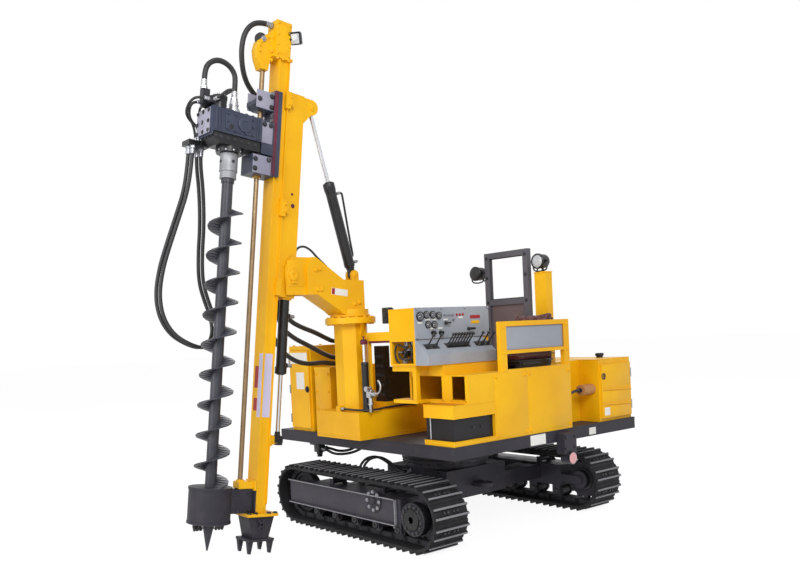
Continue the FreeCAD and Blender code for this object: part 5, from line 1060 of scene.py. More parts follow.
# %% Slide cylinder and tilt cylinder
lean("slide_rod_clevis", BLACK, [
    *blocks(3, 1, (-20, -25.5, -1176, 50, -22, -1128), (-20, 22, -1176, 50, 25.5, -1128)),
    turned([(-30, 14), (30, 14), (33, 11)], mm(14, 0, -1152), LEFT, 18),
    turned([(0, 24), (8, 24), (11, 20), (30, 20), (34, 16.4)], mm(14, 0, -1132), UP, 24),
    rounded((-22, -20, -1194), (30, 20, -1171), 4, 1)], "mast")
lean("slide_cylinder_ports", BLACK, [
    *blocks(3, 1, (-36, -14, -300, -14, 14, -266), (-36, -14, -650, -14, 14, -616)),
    turned([(0, 36.2), (1, 38.5), (7, 38.5), (8, 36.2), (4, 35.4), (0, 36.2)],
           mm(14, 0, -246), UP, 32, True)],
     "cradle")
lean("slide_wiper", CHAIN_STEEL,
     turned([(0, 30), (-4, 30), (-8, 22), (-8, 16.4), (0, 16.4), (0, 30)], mm(14, 0, -694), UP, 28, True),
     "cradle")
fit_hoses("slide_cylinder_fittings", 9, mast_spots([(-36, 0, -283), (-36, 0, -633)], -AHEAD), "cradle")
BASE = mm(833, BOOM_Y, 1942)
ALONG = (MAST @ mm(-112, 0, 1234) - BASE).normalized()
DOWN = ALONG.cross(LEFT)


def on_tilt(up, out=0):
    """A place so many millimetres up the tilt cylinder from its foot, and out below it."""
    return BASE + (ALONG * up + DOWN * out) * MM


JACKET = [(60, 31.5), (62, 38), (76, 41), (100, 41), (101, 39.5), (624, 39.5), (625, 41), (640, 42.5),
          (646, 44), (690, 44), (698, 40), (699.5, 30), (690, 31.5), (60, 31.5)]
fit("tilt_barrel_jacket", BLACK, turned(JACKET, BASE, ALONG, 40, True), "tilt_barrel")
TILT_PORTS = (88, 610)
fit("tilt_ports", BLACK,
    [turned([(0, 13), (9, 13), (11, 10)], on_tilt(up, 38), DOWN, 16) for up in TILT_PORTS], "tilt_barrel")
fit_hoses("tilt_fittings", 8, [(on_tilt(up, 47), DOWN) for up in TILT_PORTS], "tilt_barrel")
PIPE = [(610, 82), (608, 100), (570, 98), (240, 62), (150, 58), (130, 50)]
tube("tilt_pipe", [on_tilt(up, out) for up, out in PIPE], 0.008, "tilt_barrel", BLACK)
fit("tilt_wiper", CHAIN_STEEL,
    turned([(-1, 27), (5, 27), (8, 21), (8, 17.4), (-1, 17.4), (-1, 27)], on_tilt(700), ALONG, 28, True),
    "tilt_barrel")
fit("ear_pin_caps", YELLOW, [
    turned([(0, 24), (6, 24), (8, 20), (8, 8), (12, 7)], MAST @ mm(-112, side * 35, 1234), LEFT * side, 20)
    for side in (1, -1)], "cradle")
print("cylinders dressed")

# %% [markdown]
# Hoses that flex near the operator run in woven abrasion sleeves, which make them look thicker.
# Each sleeve follows its hose, a few millimetres larger, and stops short of the fittings.

# %% Hose sleeves
MAST_SLEEVE = [(262, 0, 1735), (312, 0, 1735), (395, -2, 1703), (448, -6, 1625), (460, -18, 1530),
               (440, -42, 1440), (395, -80, 1360), (325, -112, 1292), (250, -125, 1251)]
tube("mast_hose_sleeve", mast_line(MAST_SLEEVE), 0.0185, "mast", HOSE, 3)
BOOM_SLEEVES = [
    [(1400, -152, 1775), (1396, -168, 1690), (1345, -168, 1615), (1250, -168, 1567), (1120, -178, 1525),
     (1000, -205, 1478), (905, -238, 1448), (828, -262, 1455), (776, -268, 1524), (759, -252, 1612)],
    [(1440, -152, 1762), (1448, -170, 1660), (1410, -172, 1560), (1310, -170, 1485), (1170, -182, 1425),
     (1030, -205, 1360), (900, -235, 1318), (800, -248, 1340), (736, -240, 1420), (715, -230, 1510),
     (719, -222, 1612)],
    [(1480, -152, 1760), (1506, -170, 1645), (1500, -175, 1520), (1430, -170, 1400), (1320, -165, 1320),
     (1190, -172, 1290), (1050, -190, 1298), (920, -215, 1275), (800, -232, 1295), (718, -222, 1370),
     (684, -200, 1470), (686, -184, 1592)],
]
tubes("boom_hose_sleeve", BOOM_SLEEVES, 0.0175, "boom", sides=3)
print("hose sleeves")

# %% [markdown]
# The housings are folded sheet steel. A real one shows hinges, latches, turned-over edges, louvres
# where air goes through, and small plates. All are thin, so they cast fine shadows on the sheet.

# %% Sheet-metal helpers


def hinge(at, along=UP, reach=36, radius=7):
    """A butt hinge: three knuckles on a pin, in millimetres from its middle."""
    knuckle = reach * 2 / 3
    steps = []
    for low in (-reach, -reach + knuckle, -reach + 2 * knuckle):
        steps += [(low, radius * 0.7), (low + 0.8, radius), (low + knuckle - 0.8, radius)]
    return turned(steps + [(reach, radius * 0.7)], mm(*at), along, 14)


def slats(low, high, count, axis):
    """Louvres between two corners: bevelled strips in rows, each leaning out at its lower edge."""
    pitch = (high[2] - low[2]) / count
    middle = [(a + b) / 2 for a, b in zip(low, high)]
    made = []
    for index in range(count):
        z = low[2] + index * pitch
        strip = rounded((*low[:2], z), (*high[:2], z + pitch * 0.62), 2.5, 2)
        made.append(spun(strip, (*middle[:2], z), axis, -16))
    return made


def latch(at, out):
    """A paddle latch in its dish; out is the direction it faces."""
    dish = turned([(-0.5, 26), (3, 26), (5, 24), (5, 20), (2, 19)], mm(*at), out, 24)
    middle = Vector(at) + out * 6
    reach = out.cross(UP) * 8 + UP * 18 + out * 3
    return [dish, rounded(tuple(middle - reach), tuple(middle + reach), 3, 2)]


# %% Hinges, latches and louvres
for door, pin, heights, paddle, out in (
        ("front_door", (904, -856), (830, 1068, 1306), (902.3, -616, 1070), AHEAD),
        ("hood_door", (-399, -1001), (850, 1090), (-1010, -1003, 1120), -LEFT),
        ("radiator_door", (-1134, -712), (850, 1090), (-1136, -70, 1120), -AHEAD),
        ("rear_door", (-1104, 1006), (840, 1090), (-742, 1008, 1080), LEFT)):
    fit(door + "_hinges", BOLT_STEEL, [hinge((*pin, z)) for z in heights])
    fit(door + "_latch", BLACK, latch(paddle, out), door)
fit("hood_door_louvres", YELLOW, slats((-960, -1006, 840), (-480, -1000, 1080), 12, AHEAD), "hood_door")
fit("radiator_door_louvres", YELLOW,
    slats((-1139, -650, 840), (-1133, -130, 1080), 12, LEFT), "radiator_door")
print("hinges, latches and louvres")

# %% Front and low cabinet dressing
fit("cabinet_lips", YELLOW, blocks(
    2, 1, (884, -872, 1385, 890, -573, 1416), (280, -872, 1414, 886, -573, 1419),
    (884, -534, 1222, 888, -326, 1246), (358, -534, 1244, 886, -326, 1249)))
fit("low_cabinet_panel", YELLOW, rounded((883, -520, 770), (887, -342, 1206), 3, 2))
bolts("low_cabinet_bolts", YELLOW, [(887, y, z) for y in (-508, -354) for z in (784, 920, 1056, 1192)], AHEAD)
fit("front_cabinet_ribs", YELLOW,
    blocks(2, 1, *((x - 12, -874, 760, x + 12, -869, 1390) for x in (330, 582, 834))))
bolts("cabinet_roof_bolts", YELLOW, [(x, y, 1419) for x in (310, 582, 854) for y in (-848, -597)], UP)

# %% Hydraulic tank and middle covers
fit("tank_hatch", YELLOW,
    turned([(-0.5, 120), (7, 120), (9, 117), (9, 96), (12, 92), (12, 20)], mm(90, -720, 1150), UP, 48))
copies(BOLT_12, ring_of(mm(90, -720, 1158), UP, 108, 12), "tank_hatch_bolts", "upper", YELLOW)
fit("tank_filler_cap", BLACK,
    turned([(0, 46), (3, 47), (24, 47), (30, 41), (34, 20)], mm(-120, -720, 1150), UP, 20))
fit("tank_gauge_frame", GALVANISED, rounded((-30, -992, 860), (6, -985, 1080), 3, 2))
fit("tank_gauge_glass", LAMP_GLASS, turned([(0, 7), (168, 7)], mm(-12, -993, 886), UP, 16))
bolts("tank_gauge_bolts", BOLT_STEEL, [(-12, -992, 872), (-12, -992, 1068)], -LEFT)
fit("tank_straps", CHASSIS, blocks(2, 1, *(
    (x - 16, *back, x + 16, *front)
    for back, front in (((-989, 745), (-984, 1150)), ((-989, 1148), (-458, 1153)))
    for x in (-220, 180))))
fit("centre_cover_plates", YELLOW,
    blocks(2, 1, (-330, -448, 998, 4, 398, 1003), (14, -448, 998, 350, 398, 1003)))
screws = [(x, y, 1003) for x in (-310, -16, 34, 330) for y in (-430, -160, 110, 380)]
bolts("centre_cover_bolts", YELLOW, screws, UP)
print("tank and covers")

# %% Engine hood
fit("hood_lids", YELLOW,
    blocks(2.5, 2, (-1100, -975, 1208, -741, 629, 1213), (-729, -975, 1208, -362, 629, 1213)))
for index, x in enumerate((-1050, -410)):
    grip = [(x, y, z) for y, z in ((-230, 1212), (-230, 1240), (-110, 1240), (-110, 1212))]
    tube(f"hood_grip_{index}", line(grip), 0.006, "upper", BLACK)
fit("hood_lid_hinges", BOLT_STEEL, [hinge((-735, y, 1214), LEFT, 50) for y in (-820, -300, 220, 520)])
fit("hood_vent", CHASSIS,
    blocks(3, 2, *((x, -930, 1212, x + 14, -600, 1219) for x in range(-1050, -790, 26))))
fit("exhaust_stub", TRACK_STEEL,
    turned([(0, 42), (5, 42), (6, 33), (150, 33), (152, 30), (152, 26), (120, 25)],
           mm(-560, -800, 1212), UP, 28))
fit("hood_rear_ribs", YELLOW,
    blocks(2, 1, *((-1122, y - 14, 735, -1117, y + 14, 1206) for y in (-960, 20, 600))))
print("hood")

# %% Rear cabinet and canister
panels = blocks(3, 2, *((-1092, 1007, low, -726, 1011, high)
                        for low, high in ((1000, 1164), (880, 962), (767, 846))))
for z, middle in ((966, 970), (852, 857)):
    lip = rounded((-1094, 1006, z), (-724, 1020, z + 10), 2, 1)
    panels.append(spun(lip, (-910, 1008, middle), LEFT, -3))
fit("rear_door_panels", YELLOW, panels, "rear_door")
fit("rear_door_label", WHITE_PAINT, rounded((-806, 1011, 776), (-738, 1013, 838), 0.8, 1), "rear_door")
fit("rear_cabinet_lid", YELLOW, rounded((-1120, 638, 1208), (-698, 992, 1213), 2, 1))
fit("fuel_cap", BLACK,
    turned([(0, 26), (14, 26), (16, 34), (34, 34), (38, 28), (38, 10)], mm(-1000, 800, 1212), UP, 20))
fit("fuel_cap_grip", BLACK, rounded((-1046, 795, 1240), (-954, 805, 1250), 3, 2))
fit("canister_bands", COPPER_PAINT, [
    turned([(0, 20), (2, 41.5), (20, 41.5), (22, 40.3)], mm(-558, 925, 985), -AHEAD, 32),
    turned([(-4, 41.2), (-3, 42.4), (9, 42.4), (10, 41.2)], mm(-640, 925, 985), -AHEAD, 32)])
fit("canister_outlet", DARK_BOLT,
    turned([(0, 18), (10, 18), (12, 12), (34, 12), (36, 10)], mm(-560, 925, 985), AHEAD, 20))
DRAIN = [(-526, 925, 985), (-480, 925, 985), (-450, 900, 960), (-450, 840, 930), (-450, 812, 930)]
tube("canister_hose", line(DRAIN), 0.011)
print("rear cabinet and canister")

# %% Side cabinet
fit("side_panels", YELLOW,
    blocks(3, 2, (-318, 1008, 748, 150, 1012, 1176), (168, 1008, 748, 496, 1012, 1176)))
bolts("side_panel_bolts", YELLOW, [(x, 1012, z) for x in (-304, 136, 182, 482) for z in (764, 1160)], LEFT)
fit("window_edges", YELLOW, blocks(1.5, 1, *(
    row for y0, y1 in ((472, 772), (866, 986)) for row in (
        (760, y0 - 12, 1014, 765, y0, 1188), (760, y1, 1014, 765, y1 + 12, 1188),
        (760, y0 - 12, 1014, 765, y1 + 12, 1024), (760, y0 - 12, 1182, 765, y1 + 12, 1188)))))
print("side cabinet")

# %% [markdown]
# The seat is foam under grained vinyl on a steel pan. Foam swells its cover, so each pad starts as a
# slightly small block, is remeshed evenly, and is blown up as cloth with a little pressure.
# How far a point may move is capped, so the pad keeps its size. Sewn channels come afterwards.

# %% Padding helpers


def apply(piece, name, kind, **settings):
    """Add a modifier and apply it."""
    made = piece.modifiers.new(name, kind)
    for key, value in settings.items():
        setattr(made, key, value)
    bpy.ops.object.modifier_apply(modifier=name)


def swell(piece, cap, pressure=4.0, voxel=0.006):
    """Remesh a closed form, blow it up as cloth, and cap how far each point may move."""
    clear()
    piece.select_set(True)
    bpy.context.view_layer.objects.active = piece
    apply(piece, "grid", "REMESH", mode="VOXEL", voxel_size=voxel)
    before = [point.co.copy() for point in piece.data.vertices]
    cloth = piece.modifiers.new("cloth", "CLOTH")
    cloth.settings.use_pressure = True
    cloth.settings.uniform_pressure_force = pressure
    cloth.settings.effector_weights.gravity = 0.0
    for step in range(1, 21):
        bpy.context.scene.frame_set(step)
    bpy.ops.object.modifier_apply(modifier="cloth")
    bpy.context.scene.frame_set(1)
    for point, origin in zip(piece.data.vertices, before):
        way = point.co - origin
        if way.length > cap:
            point.co = origin + way * (cap / way.length)
    apply(piece, "fine", "SUBSURF", levels=1, render_levels=1)


def sew(piece, lines, way, depth=0.009, width=0.010):
    """Press channels into a pad along a way; each line tells a point's distance to it."""
    for point in piece.data.vertices:
        for distance in lines:
            near = math.exp(-(distance(point.co) / width) ** 2)
            if near > 0.01 and point.normal.dot(way) < -0.35:
                point.co += way * depth * near
    piece.data.update()


def channels(places):
    """Lines that run along the seat at these places across it, in millimetres."""
    return [lambda p, y=y: abs(p.y - y * MM) for y in places]


def recline(piece):
    """Lean a part of the seat's back."""
    return spun(piece, (-239, 725, 1330), LEFT, -8)


# %% Seat cushion and back
cushion = rounded((-262, 531, 1262), (126, 919, 1316), 16, 4)
swell(cushion, 0.022)
sew(cushion, channels((595, 661, 725, 789, 855)) + [lambda p: abs(p.x - 0.072)], -UP)
seat = finish(cushion, "seat_cushion", "upper", SEAT_VINYL, angle=80)
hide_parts("seat")

backrest = rounded((-262, 545, 1330), (-216, 905, 1596), 16, 4)
swell(backrest, 0.022)
sew(backrest, channels((620, 690, 760, 830)), -AHEAD)
backrest = finish(recline(backrest), "seat_back", "upper", SEAT_VINYL, angle=80)
print("seat faces", len(seat.data.polygons), len(backrest.data.polygons))

# %% Seat pan, rails and piping
rails = blocks(3, 1, (-266, 560, 1191, 100, 600, 1214), (-266, 850, 1191, 100, 890, 1214),
               (-262, 552, 1212, 94, 898, 1240))
fit("seat_pan", BLACK, blocks(5, 2, (-270, 540, 1238, 112, 910, 1252)) + rails)
fit("seat_shell", BLACK, recline(rounded((-288, 562, 1250), (-274, 888, 1560), 6, 3)))
WELT = [(-268, 525, 1287), (-100, 521, 1289), (118, 525, 1287), (133, 560, 1287), (136, 725, 1289),
        (133, 890, 1287), (118, 925, 1287), (-100, 929, 1289), (-268, 925, 1287)]
tube("seat_piping", line(WELT), 0.003, "upper", SEAT_VINYL)
tube("seat_lever", line([(60, 880, 1226), (60, 925, 1226), (100, 932, 1226)]), 0.005, "upper", BLACK)
print("seat mounted")

# %% [markdown]
# A track shoe is a rolled plate with two grousers, bolted by four bolts to a pair of chain links.
# The loop is straight above and below, and half a circle at each end, so every bolt and link is placed
# by how far along the loop it sits. Worn tips and chain faces show bare steel.

# %% Track loop
TRACK_AXIS_Z = 236.0
STRAIGHT = 704.0
SHOE_R = 218.0
SHOE_PITCH = 135
TRACK_X = 875
LOOP = 4 * STRAIGHT + 2 * math.pi * SHOE_R
SHOE_COUNT = round(LOOP / SHOE_PITCH)


def on_loop(distance, out):
    """The place (y, z) on the track loop, raised by out, and the heading of its outward side in radians."""
    bend = math.pi * SHOE_R
    distance %= LOOP
    if distance < 2 * STRAIGHT:
        return -STRAIGHT + distance, TRACK_AXIS_Z + SHOE_R + out, math.pi / 2
    distance -= 2 * STRAIGHT
    middle, heading = STRAIGHT, math.pi / 2 - distance / SHOE_R
    if distance >= bend:
        distance -= bend
        if distance < 2 * STRAIGHT:
            return STRAIGHT - distance, TRACK_AXIS_Z - SHOE_R - out, -math.pi / 2
        distance -= 2 * STRAIGHT
        middle, heading = -STRAIGHT, -math.pi / 2 - distance / SHOE_R
    reach = SHOE_R + out
    return middle + reach * math.cos(heading), TRACK_AXIS_Z + reach * math.sin(heading), heading


def along_loop(name, model, run, out=-38, x_places=(0,)):
    """Copy a part modelled at the top of the loop to every shoe of both tracks."""
    made = []
    for track in (-TRACK_X, TRACK_X):
        for index in range(SHOE_COUNT):
            y, z, heading = on_loop((index + run) * LOOP / SHOE_COUNT, out)
            turn = Matrix.Rotation(heading - math.pi / 2, 4, "X")
            for x in x_places:
                twin = twin_of(model)
                twin.data.transform(Matrix.Translation(mm(track + x, y, z)) @ turn)
                made.append(twin)
    put_away(model)
    fit(name, CHAIN_STEEL, made, "undercarriage")


# %% Shoe bolts, links and pins
along_loop("shoe_bolts", turned([(-1, 11), (7, 11), (9, 9)], HERE, UP, 6), 0.52, 0, (-60, -27, 27, 60))
for name, side in (("link_plates_outer", 1), ("link_plates_inner", -1)):
    link = merge([rounded((side * 48, -66, -17), (side * 51, 30, 17), 1.2, 1),
                  rounded((side * 51, -70, -15), (side * 53, -24, 15), 1, 1)])
    along_loop(name, link, 0.5)
along_loop("track_pins", turned([(-56, 9), (-55, 12), (55, 12), (56, 9)], HERE, AHEAD, 12), 0.14)
print("shoes", SHOE_COUNT)

# %% [markdown]
# Between the shoes lies the track beam. Its side plate has pale strips along its edges that paint their
# highlights, and one round bolted cover.
# The final drive is a black drum with a ring of bolts, and each roller shows the cap of its axle.

# %% Track beam and wheels
ROLLER_CAP = [(-2, 26), (4, 26), (7, 23), (7, 9), (3, 8)]
DRUM = [(1, 108), (3, 113.5), (56, 113.5), (64, 105), (64, 74), (66, 71), (74, 71), (79, 66), (79, 24),
        (76, 22), (76, 8)]
COVER = [(0, 82), (8, 82), (11, 79), (11, 50), (8, 48), (8, 26), (18, 24), (20, 20), (20, 6)]
strips, covers, caps, cover_bolts = [], [], [], []
for side in (-1, 1):
    out = AHEAD * side
    idler = mm(side * 965, -STRAIGHT, TRACK_AXIS_Z)
    strips += blocks(1.2, 1, *((side * 1004, -798, z, side * 1009, 498, z + 7) for z in (156, 336)),
                     (side * 984, 494, 162, side * 1006, 501, 338))
    covers.append(turned(COVER, mm(side * 986, 262, 300), out, 32))
    cover_bolts += ring_of(mm(side * 997, 262, 300), out, 65, 8)
    for y in (-480, -240, 0, 240, 480):
        caps.append(turned(ROLLER_CAP, mm(side * 965, y, 120), out, 20))
        caps.append(turned(ROLLER_CAP, mm(side * 785, y, 120), -out, 20))
    caps.append(turned([(-2, 46), (6, 46), (10, 41), (10, 18), (14, 15), (14, 6)], idler, out, 28))
    caps.append(turned([(-2, 30), (14, 30), (18, 26)], idler, out, 6))
# These pale strips paint the highlights on the beam's flange edges.
fit("beam_edge_highlights", EDGE_HIGHLIGHT_STEEL, strips, "undercarriage")
fit("beam_covers", CHASSIS, covers, "undercarriage")
fit("roller_caps", BLACK, caps, "undercarriage")
copies(BOLT_12, cover_bolts, "beam_cover_bolts", "undercarriage", BOLT_STEEL)


def at_drive(x):
    """A place on the axis of the track's driven wheels."""
    return mm(x, STRAIGHT, TRACK_AXIS_Z)


drums = [turned(DRUM, at_drive(side * 965), AHEAD * side, 48) for side in (-1, 1)]
fit("final_drive_covers", BLACK, drums, "undercarriage")
drive_bolts = sum((ring_of(at_drive(side * 1029), AHEAD * side, 89, 14) for side in (-1, 1)), [])
copies(BOLT_16, drive_bolts, "final_drive_bolts", "undercarriage", DARK_BOLT)
HUB = [(0, 92), (6, 92), (9, 88), (9, 60)]
hubs = [turned(HUB, at_drive(side * (TRACK_X - face * 22)), AHEAD * -side * face, 36)
        for side in (-1, 1) for face in (1, -1)]
fit("sprocket_plates", CHAIN_STEEL, hubs, "undercarriage")
print("track frame dressed")

# %% Slew ring and car body
SEAL = [(0, 340), (2, 349), (14, 351), (18, 347), (40, 347), (44, 351), (56, 349), (58, 340)]
fit("slew_seal", BELLOWS, turned(SEAL, mm(0, 0, 473), UP, 72), "undercarriage")
copies(BOLT_16, ring_of(mm(0, 0, 460), -UP, 333, 30), "slew_ring_bolts", "undercarriage", DARK_BOLT)
fit("car_body_gussets", CHASSIS, blocks(3, 1, *(
    (x - 6, y - 92, 300, x + 6, y + 92, 412) for x in (-336, 336) for y in (-190, 190))), "undercarriage")

# %% [markdown]
# Behind the seat stands a steel frame with a window opening, and beside it two round work lamps.
# A lamp is a pressed shell, a bezel ring, a slightly domed glass and a stirrup bracket with its cable.

# %% Work lamps
STIRRUP = [(-55, 0), (-66, 0), (-66, -66), (-20, -76), (20, -76), (66, -66), (66, 0), (55, 0)]
bezels, glasses, stirrups = [], [], []
for x, y, z in ((-336, 745, 1985), (-340, 100, 1945)):
    at = mm(x, y, z)
    bezels.append(turned([(-14, 55.5), (-12, 59), (4, 59), (8, 55), (8, 49), (1, 47.5), (0.5, 47)],
                         at, AHEAD, 36))
    glasses.append(turned([(0.6, 47.8), (2, 47.6), (5, 40), (8, 26), (9, 10)], at, AHEAD, 36))
    bow = line([(x - 30, y + b, z + c) for b, c in STIRRUP])
    stirrups.append(tube("stirrup", bow, 0.006, "upper", BLACK))
    for side in (-1, 1):
        stirrups.append(turned([(0, 11), (8, 11), (10, 8)], mm(x - 30, y + side * 62, z), LEFT * side, 14))
fit("lamp_bezels", BLACK, bezels)
fit("lamp_glasses", LAMP_GLASS, glasses)
fit("lamp_stirrups", BLACK, stirrups)
tube("lamp_cable_right", line([(-394, 722, 1970), (-412, 690, 1950), (-410, 672, 1900), (-400, 680, 1820),
                               (-400, 684, 1700), (-400, 686, 1560), (-400, 690, 1300)]), 0.006)
tube("lamp_cable_left", line([(-398, 100, 1922), (-412, 118, 1900), (-424, 150, 1860), (-426, 172, 1800),
                              (-426, 176, 1500), (-426, 180, 1225)]), 0.006)
fit("lamp_cover", GRIP, turned([(8, 50), (12, 50), (15, 44), (15, 12)], mm(-340, 100, 1945), AHEAD, 32))
print("lamps")

# %% Operator frame and guard
fit("frame_window_seal", GRIP, blocks(1.5, 1, *((-406, y0, z0, -394, y1, z1) for y0, z0, y1, z1 in (
    (216, 1721, 566, 1727), (216, 2047, 566, 2053), (216, 1721, 222, 2053), (560, 1721, 566, 2053)))))
fit("frame_lower_panel", MAROON_GREY, rounded((-396, 224, 1280), (-392, 558, 1700), 1.5, 1))
bolts("frame_bolts", DARK_BOLT, [(-377, y, z) for y in (193, 589) for z in (1240, 1480, 1700, 1900, 2060)],
      AHEAD)
fit("frame_feet", FRAME_GREY, blocks(3, 1, *((-432, y - 34, 1208, -368, y + 34, 1218) for y in (193, 589))))
fit("column_lid", YELLOW, [
    rounded((-437, 686, 1896), (-355, 804, 1906), 3, 2), rounded((-434, 688, 1208), (-358, 802, 1216), 3, 1)])
# The seal is in the darker yellow that paints shade.
fit("guard_window_seal", SHADED_YELLOW, blocks(1.5, 1, *((x0, 999, z0, x1, 1008, z1) for x0, z0, x1, z1 in (
    (-272, 1332, 362, 1337), (-272, 1498, 362, 1503), (-272, 1332, -267, 1503), (357, 1332, 362, 1503)))))
bolts("guard_bolts", YELLOW, [(x, 1010, z) for x in (-300, 390) for z in (1205, 1320, 1500)], LEFT)
fit("guard_stiffeners", GREY_PANEL, blocks(0.8, 1, *(
    (x - 2, 985, 1336, x + 2, 988, 1500) for x in range(-240, 360, 60))))
print("frame and guard")

# %% [markdown]
# The deck is a framed plate. Its skirt carries small white plates, left blank, and a side marker lamp
# with a pale pink lens. Under the front edge hangs a feed block with hoses to the turning joint.

# %% Deck skirt, marker lamp and feed block
fit("skirt_plates", WHITE_PAINT,
    blocks(1, 1, (-8, 1014, 650, 158, 1017, 724), (-606, 1014, 654, -524, 1017, 706)))
MARKER_AT = mm(-200, 1098, 528)
fit("marker_lens", PINK_GLASS, turned([(0, 41), (5, 41), (9, 36), (12, 22), (13, 8)], MARKER_AT, LEFT, 32))
fit("marker_bezel", BLACK, turned([(-12, 44.5), (-10, 47), (2, 47), (5, 44), (5, 41)], MARKER_AT, LEFT, 32))
bolts("marker_post_bolts", DARK_BOLT, [(x, 1085, z) for x in (-250, -150) for z in (600, 680)], LEFT)
fit("deck_edge_strip", CHASSIS,
    blocks(2, 1, (-1126, 1013, 722, 920, 1018, 732), (918, -1000, 722, 923, 1015, 732)))
fit("feed_block", BLACK, [
    rounded((690, -770, 600), (800, -640, 644), 5, 2), rounded((712, -744, 538), (778, -668, 602), 8, 2),
    turned([(0, 26), (16, 26), (20, 22), (38, 22), (40, 18)], mm(745, -706, 540), -UP, 20)])
FEEDS = [
    [(745, -668, 566), (745, -610, 566), (720, -540, 530), (640, -460, 530), (560, -400, 560),
     (520, -360, 610), (500, -340, 642)],
    [(712, -706, 566), (660, -700, 566), (600, -640, 530), (540, -560, 540), (500, -500, 580),
     (480, -470, 642)],
]
tubes("feed_hose", FEEDS, 0.011)
fit_hoses("feed_fittings", 11, spots([FEEDS[0][0]], LEFT) + spots([FEEDS[1][0]], -AHEAD))
print("deck skirt dressed")

# %% Plinth, post and valve dressing
fit("plinth_beads", YELLOW, blocks(2, 1, (1037, -300, 750, 1040, 180, 760), (380, 199, 748, 1020, 202, 756)))
fit("post_foot_weld", YELLOW, turned([(0, 136), (4, 138), (14, 138), (18, 132)], mm(870, BOOM_Y, 929), UP, 8))
fit("ram_stem", CHROME, turned([(0, 13.2), (128, 13.2)], mm(940, 172, 1291), UP, 20))
fit("ram_head", MAROON_PAINT, [
    turned([(0, 24), (4, 26), (26, 26), (34, 20), (38, 12)], mm(940, 172, 1418), UP, 20),
    turned([(0, 5), (12, 5), (14, 8), (20, 8), (22, 5)], mm(940, 172, 1456), UP, 14)])
fit("ram_collars", BLACK, [
    turned([(0, 27.5), (4, 29), (12, 29), (16, 26.6)], mm(940, 172, z), UP, 28) for z in (940, 1268)])
fit("guard_bar", MAROON_PAINT, rounded((886, 178, 1424), (898, 640, 1440), 3, 2))
fit("console_side_box", BLACK, [
    rounded((838, 330, 1560), (892, 404, 1668), 6, 2), rounded((846, 322, 1666), (884, 400, 1674), 3, 1)])
fit("console_box_arm", BLACK, rounded((852, 396, 1596), (878, 414, 1630), 3, 1))
fit("shutoff_valve", GALVANISED, [
    turned([(0, 22), (10, 22), (12, 17), (54, 17), (56, 24), (78, 24), (80, 17), (112, 17), (114, 12),
            (128, 12)],
           mm(950, 236, 985), UP, 20),
    turned([(0, 15), (44, 15), (46, 19), (64, 19), (66, 12)], mm(950, 236, 1060), LEFT, 18),
    turned([(0, 15), (30, 15), (32, 19), (46, 19)], mm(950, 236, 1100), AHEAD, 18),
    rounded((926, 212, 1034), (974, 262, 1086), 5, 2), rounded((938, 224, 930), (962, 248, 988), 3, 1)])
HOOK = [(950, 300, 1060), (950, 330, 1070), (950, 352, 1108), (950, 344, 1146), (950, 322, 1160)]
tube("valve_hook", line(HOOK), 0.007, "upper", GALVANISED)
fit("valve_caps", DARK_BOLT, blocks(3, 1, *(
    (734, y - 12, z - 12, 741, y + 12, z + 12) for y in (64, 95, 126) for z in range(1040, 1321, 70))))
fit("valve_slices", BLACK, blocks(0.8, 1, *((678, 38, z, 737, 152, z + 3) for z in range(1060, 1390, 55))))
bolts("valve_screws", DARK_BOLT, [(700, 150, z) for z in (1020, 1130, 1240, 1350)], LEFT, SCREW_10)
print("valves")

# %% [markdown]
# The drill string screws and pins together. Its coupling is bright bare steel, and the flights are
# welded on edge. At the foot, hardened teeth cut the ground around a pilot point.

# %% Auger coupling and cutting teeth
AUGER_D = 519
AUGER_AT = mm(AUGER_D, 0, 0)
lean("auger_coupling_sleeve", BARE_STEEL,
     turned([(588, 50), (590, 57), (600, 57), (602, 55), (636, 55), (638, 61.5), (648, 61.5), (650, 60.6),
             (742, 60.6), (746, 61.5), (757, 61.5), (759, 58)], AUGER_AT, UP, 40), "auger")
lean("auger_collar", AUGER_PAINT,
     turned([(560, 38.5), (562, 45), (586, 45), (589, 38.5)], AUGER_AT, UP, 32), "auger")
lean("coupling_pins", DARK_BOLT, [
    turned([(-64, 8), (-63, 11), (63, 11), (64, 8)], mm(AUGER_D, 0, 700), way, 14)
    for way in (AHEAD, LEFT)], "auger")
teeth = []
for side in (-1, 1):
    for d in (AUGER_D + side * reach for reach in (60, 84, 106)):
        teeth.append(spun(rounded((d - 8, -6, -1756), (d + 8, 14, -1716), 3, 1), (d, 0, -1730), AHEAD,
                          28 * side))
lean("cutting_teeth", CHAIN_STEEL, teeth, "auger")
lean("pilot_collar", CHAIN_STEEL,
     turned([(0, 37), (-6, 39), (-18, 39), (-24, 34)], mm(AUGER_D, 0, -1724), UP, 6), "auger")
print("auger dressed")

# %% Auger guide, foot and bar ends
lean("guide_sleeve_rims", CHASSIS, [
    turned([(-1706, 143), (-1704, 146), (-1690, 146), (-1688, 142.5)], AUGER_AT, UP, 48),
    turned([(-1484, 142.5), (-1482, 146), (-1470, 146), (-1467, 143)], AUGER_AT, UP, 48)], "mast")
saddle = blocks(4, 1, (197, -43, -1487, 326, 43, -1437), (197, -62, -1500, 215, 62, -1430))
saddle.append(turned([(0, 27), (10, 27), (13, 23)], mm(296, 0, -1438), UP, 24))
lean("guide_bar_saddle", YELLOW, saddle, "mast")
mast_bolts("guide_bolts_low", DARK_BOLT, [(d, 40, s) for d in (240, 330) for s in (-1630, -1520)],
           LEFT, body="mast")
lean("foot_braces", CHASSIS, [
    spun(rounded((150, 84.5, -1762), (166, 88, -1690), 2, 1), (158, 86, -1726), LEFT, turn)
    for turn in (38, -38)], "mast")
foot_bolts = [(d, y, -1652) for d in (50, 100, 206, 256) for y in (-78, 78)]
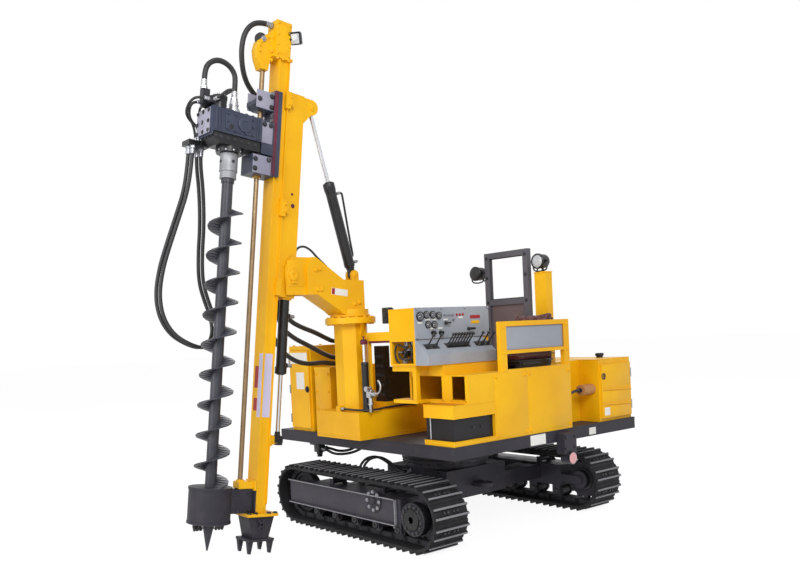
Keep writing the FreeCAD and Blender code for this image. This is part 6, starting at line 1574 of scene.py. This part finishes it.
mast_bolts("foot_bolts", DARK_BOLT, foot_bolts, UP, BOLT_16, "mast")
lean("claw_tips", CHAIN_STEEL, [
    turned([(0, 13), (-3, 14), (-9, 12), (-16, 6)], mm(d, y, -1900), UP, 8)
    for d in (73, 233) for y in (-62, 62)], "mast")
lean("swivel_body", GALVANISED,
     turned([(0, 38), (12, 38), (14, 31), (30, 31), (32, 34), (42, 34), (44, 29), (66, 29), (70, 20)],
            mm(505, 0, 1060), UP, 28))
ARCH = [(505, 0, 1190), (503, 0, 1260), (512, 0, 1318), (564, 0, 1365), (640, 0, 1376), (704, 0, 1340),
        (735, 0, 1282), (735, 0, 1215)]
tube("arch_hose_guard", mast_line(ARCH), 0.0185, "carriage", HOSE, 3)
print("guide, foot and swivel dressed")

# %% [markdown]
# At the console's end an open bay shows its plumbing: short looped hoses between small valves.
# Below it, the step's recess is lined with a black panel that paints the shade inside it, with one thin rod
# and two bolts.

# %% Console bay
fit("bay_valves", DARK_BOLT, [
    *blocks(4, 2, (782, 462, 1320, 812, 500, 1380), (782, 540, 1336, 812, 586, 1402)),
    turned([(0, 15), (26, 15), (28, 10), (44, 10)], mm(812, 480, 1352), AHEAD, 16),
    turned([(0, 17), (22, 17), (24, 12), (36, 12)], mm(812, 562, 1372), AHEAD, 16)])
BAY_LOOPS = [
    [(850, 480, 1352), (884, 480, 1352), (892, 500, 1318), (884, 548, 1296), (880, 604, 1306),
     (872, 620, 1352), (850, 600, 1392), (838, 562, 1400), (830, 562, 1388)],
    [(846, 562, 1372), (880, 562, 1372), (894, 540, 1398), (890, 484, 1410), (884, 448, 1384),
     (880, 442, 1330), (872, 452, 1290), (866, 470, 1276)],
    [(860, 600, 1276), (884, 616, 1300), (892, 628, 1346), (886, 622, 1396), (876, 596, 1422)],
]
tubes("bay_hose", BAY_LOOPS, 0.0065)
fit_hoses("bay_fittings", 6, spots([route[0] for route in BAY_LOOPS[:2]], AHEAD), material=GALVANISED)
print("bay plumbing")

# %% Hose bay and step recess
fit("bay_edges", YELLOW, blocks(1.5, 1, (884, 618, 1024, 888, 652, 1222), (761, 648, 1000, 886, 653, 1024)))
fit("recess_rod", GALVANISED, turned([(0, 5), (142, 5)], mm(884, 772, 768), UP, 12))
bolts("recess_bolts", DARK_BOLT, [(700, 986, 842), (620, 986, 842)], LEFT)
fit("step_lips", YELLOW, blocks(1.5, 1, *(
    row for z in (996, 913, 759)
    for row in ((508, 1008, z, 907, 1013, z + 6), (903, 728, z, 908, 1012, z + 6)))))
# The tread bars are in the darker yellow that paints shade.
fit("step_tread", SHADED_YELLOW,
    blocks(2, 1, *((x, 760, 999, x + 12, 990, 1004) for x in range(780, 900, 24))))
print("step dressed")

# %% [markdown]
# The last cell puts away the fasteners that copies were taken from, and measures the two long hoses again.

# %% Finish
put_away(BOLT_16, BOLT_12, SCREW_10)
for node, hose in LONG_HOSES.items():
    forward, side = HOSE_SHIFT[node]
    length_of(hose)
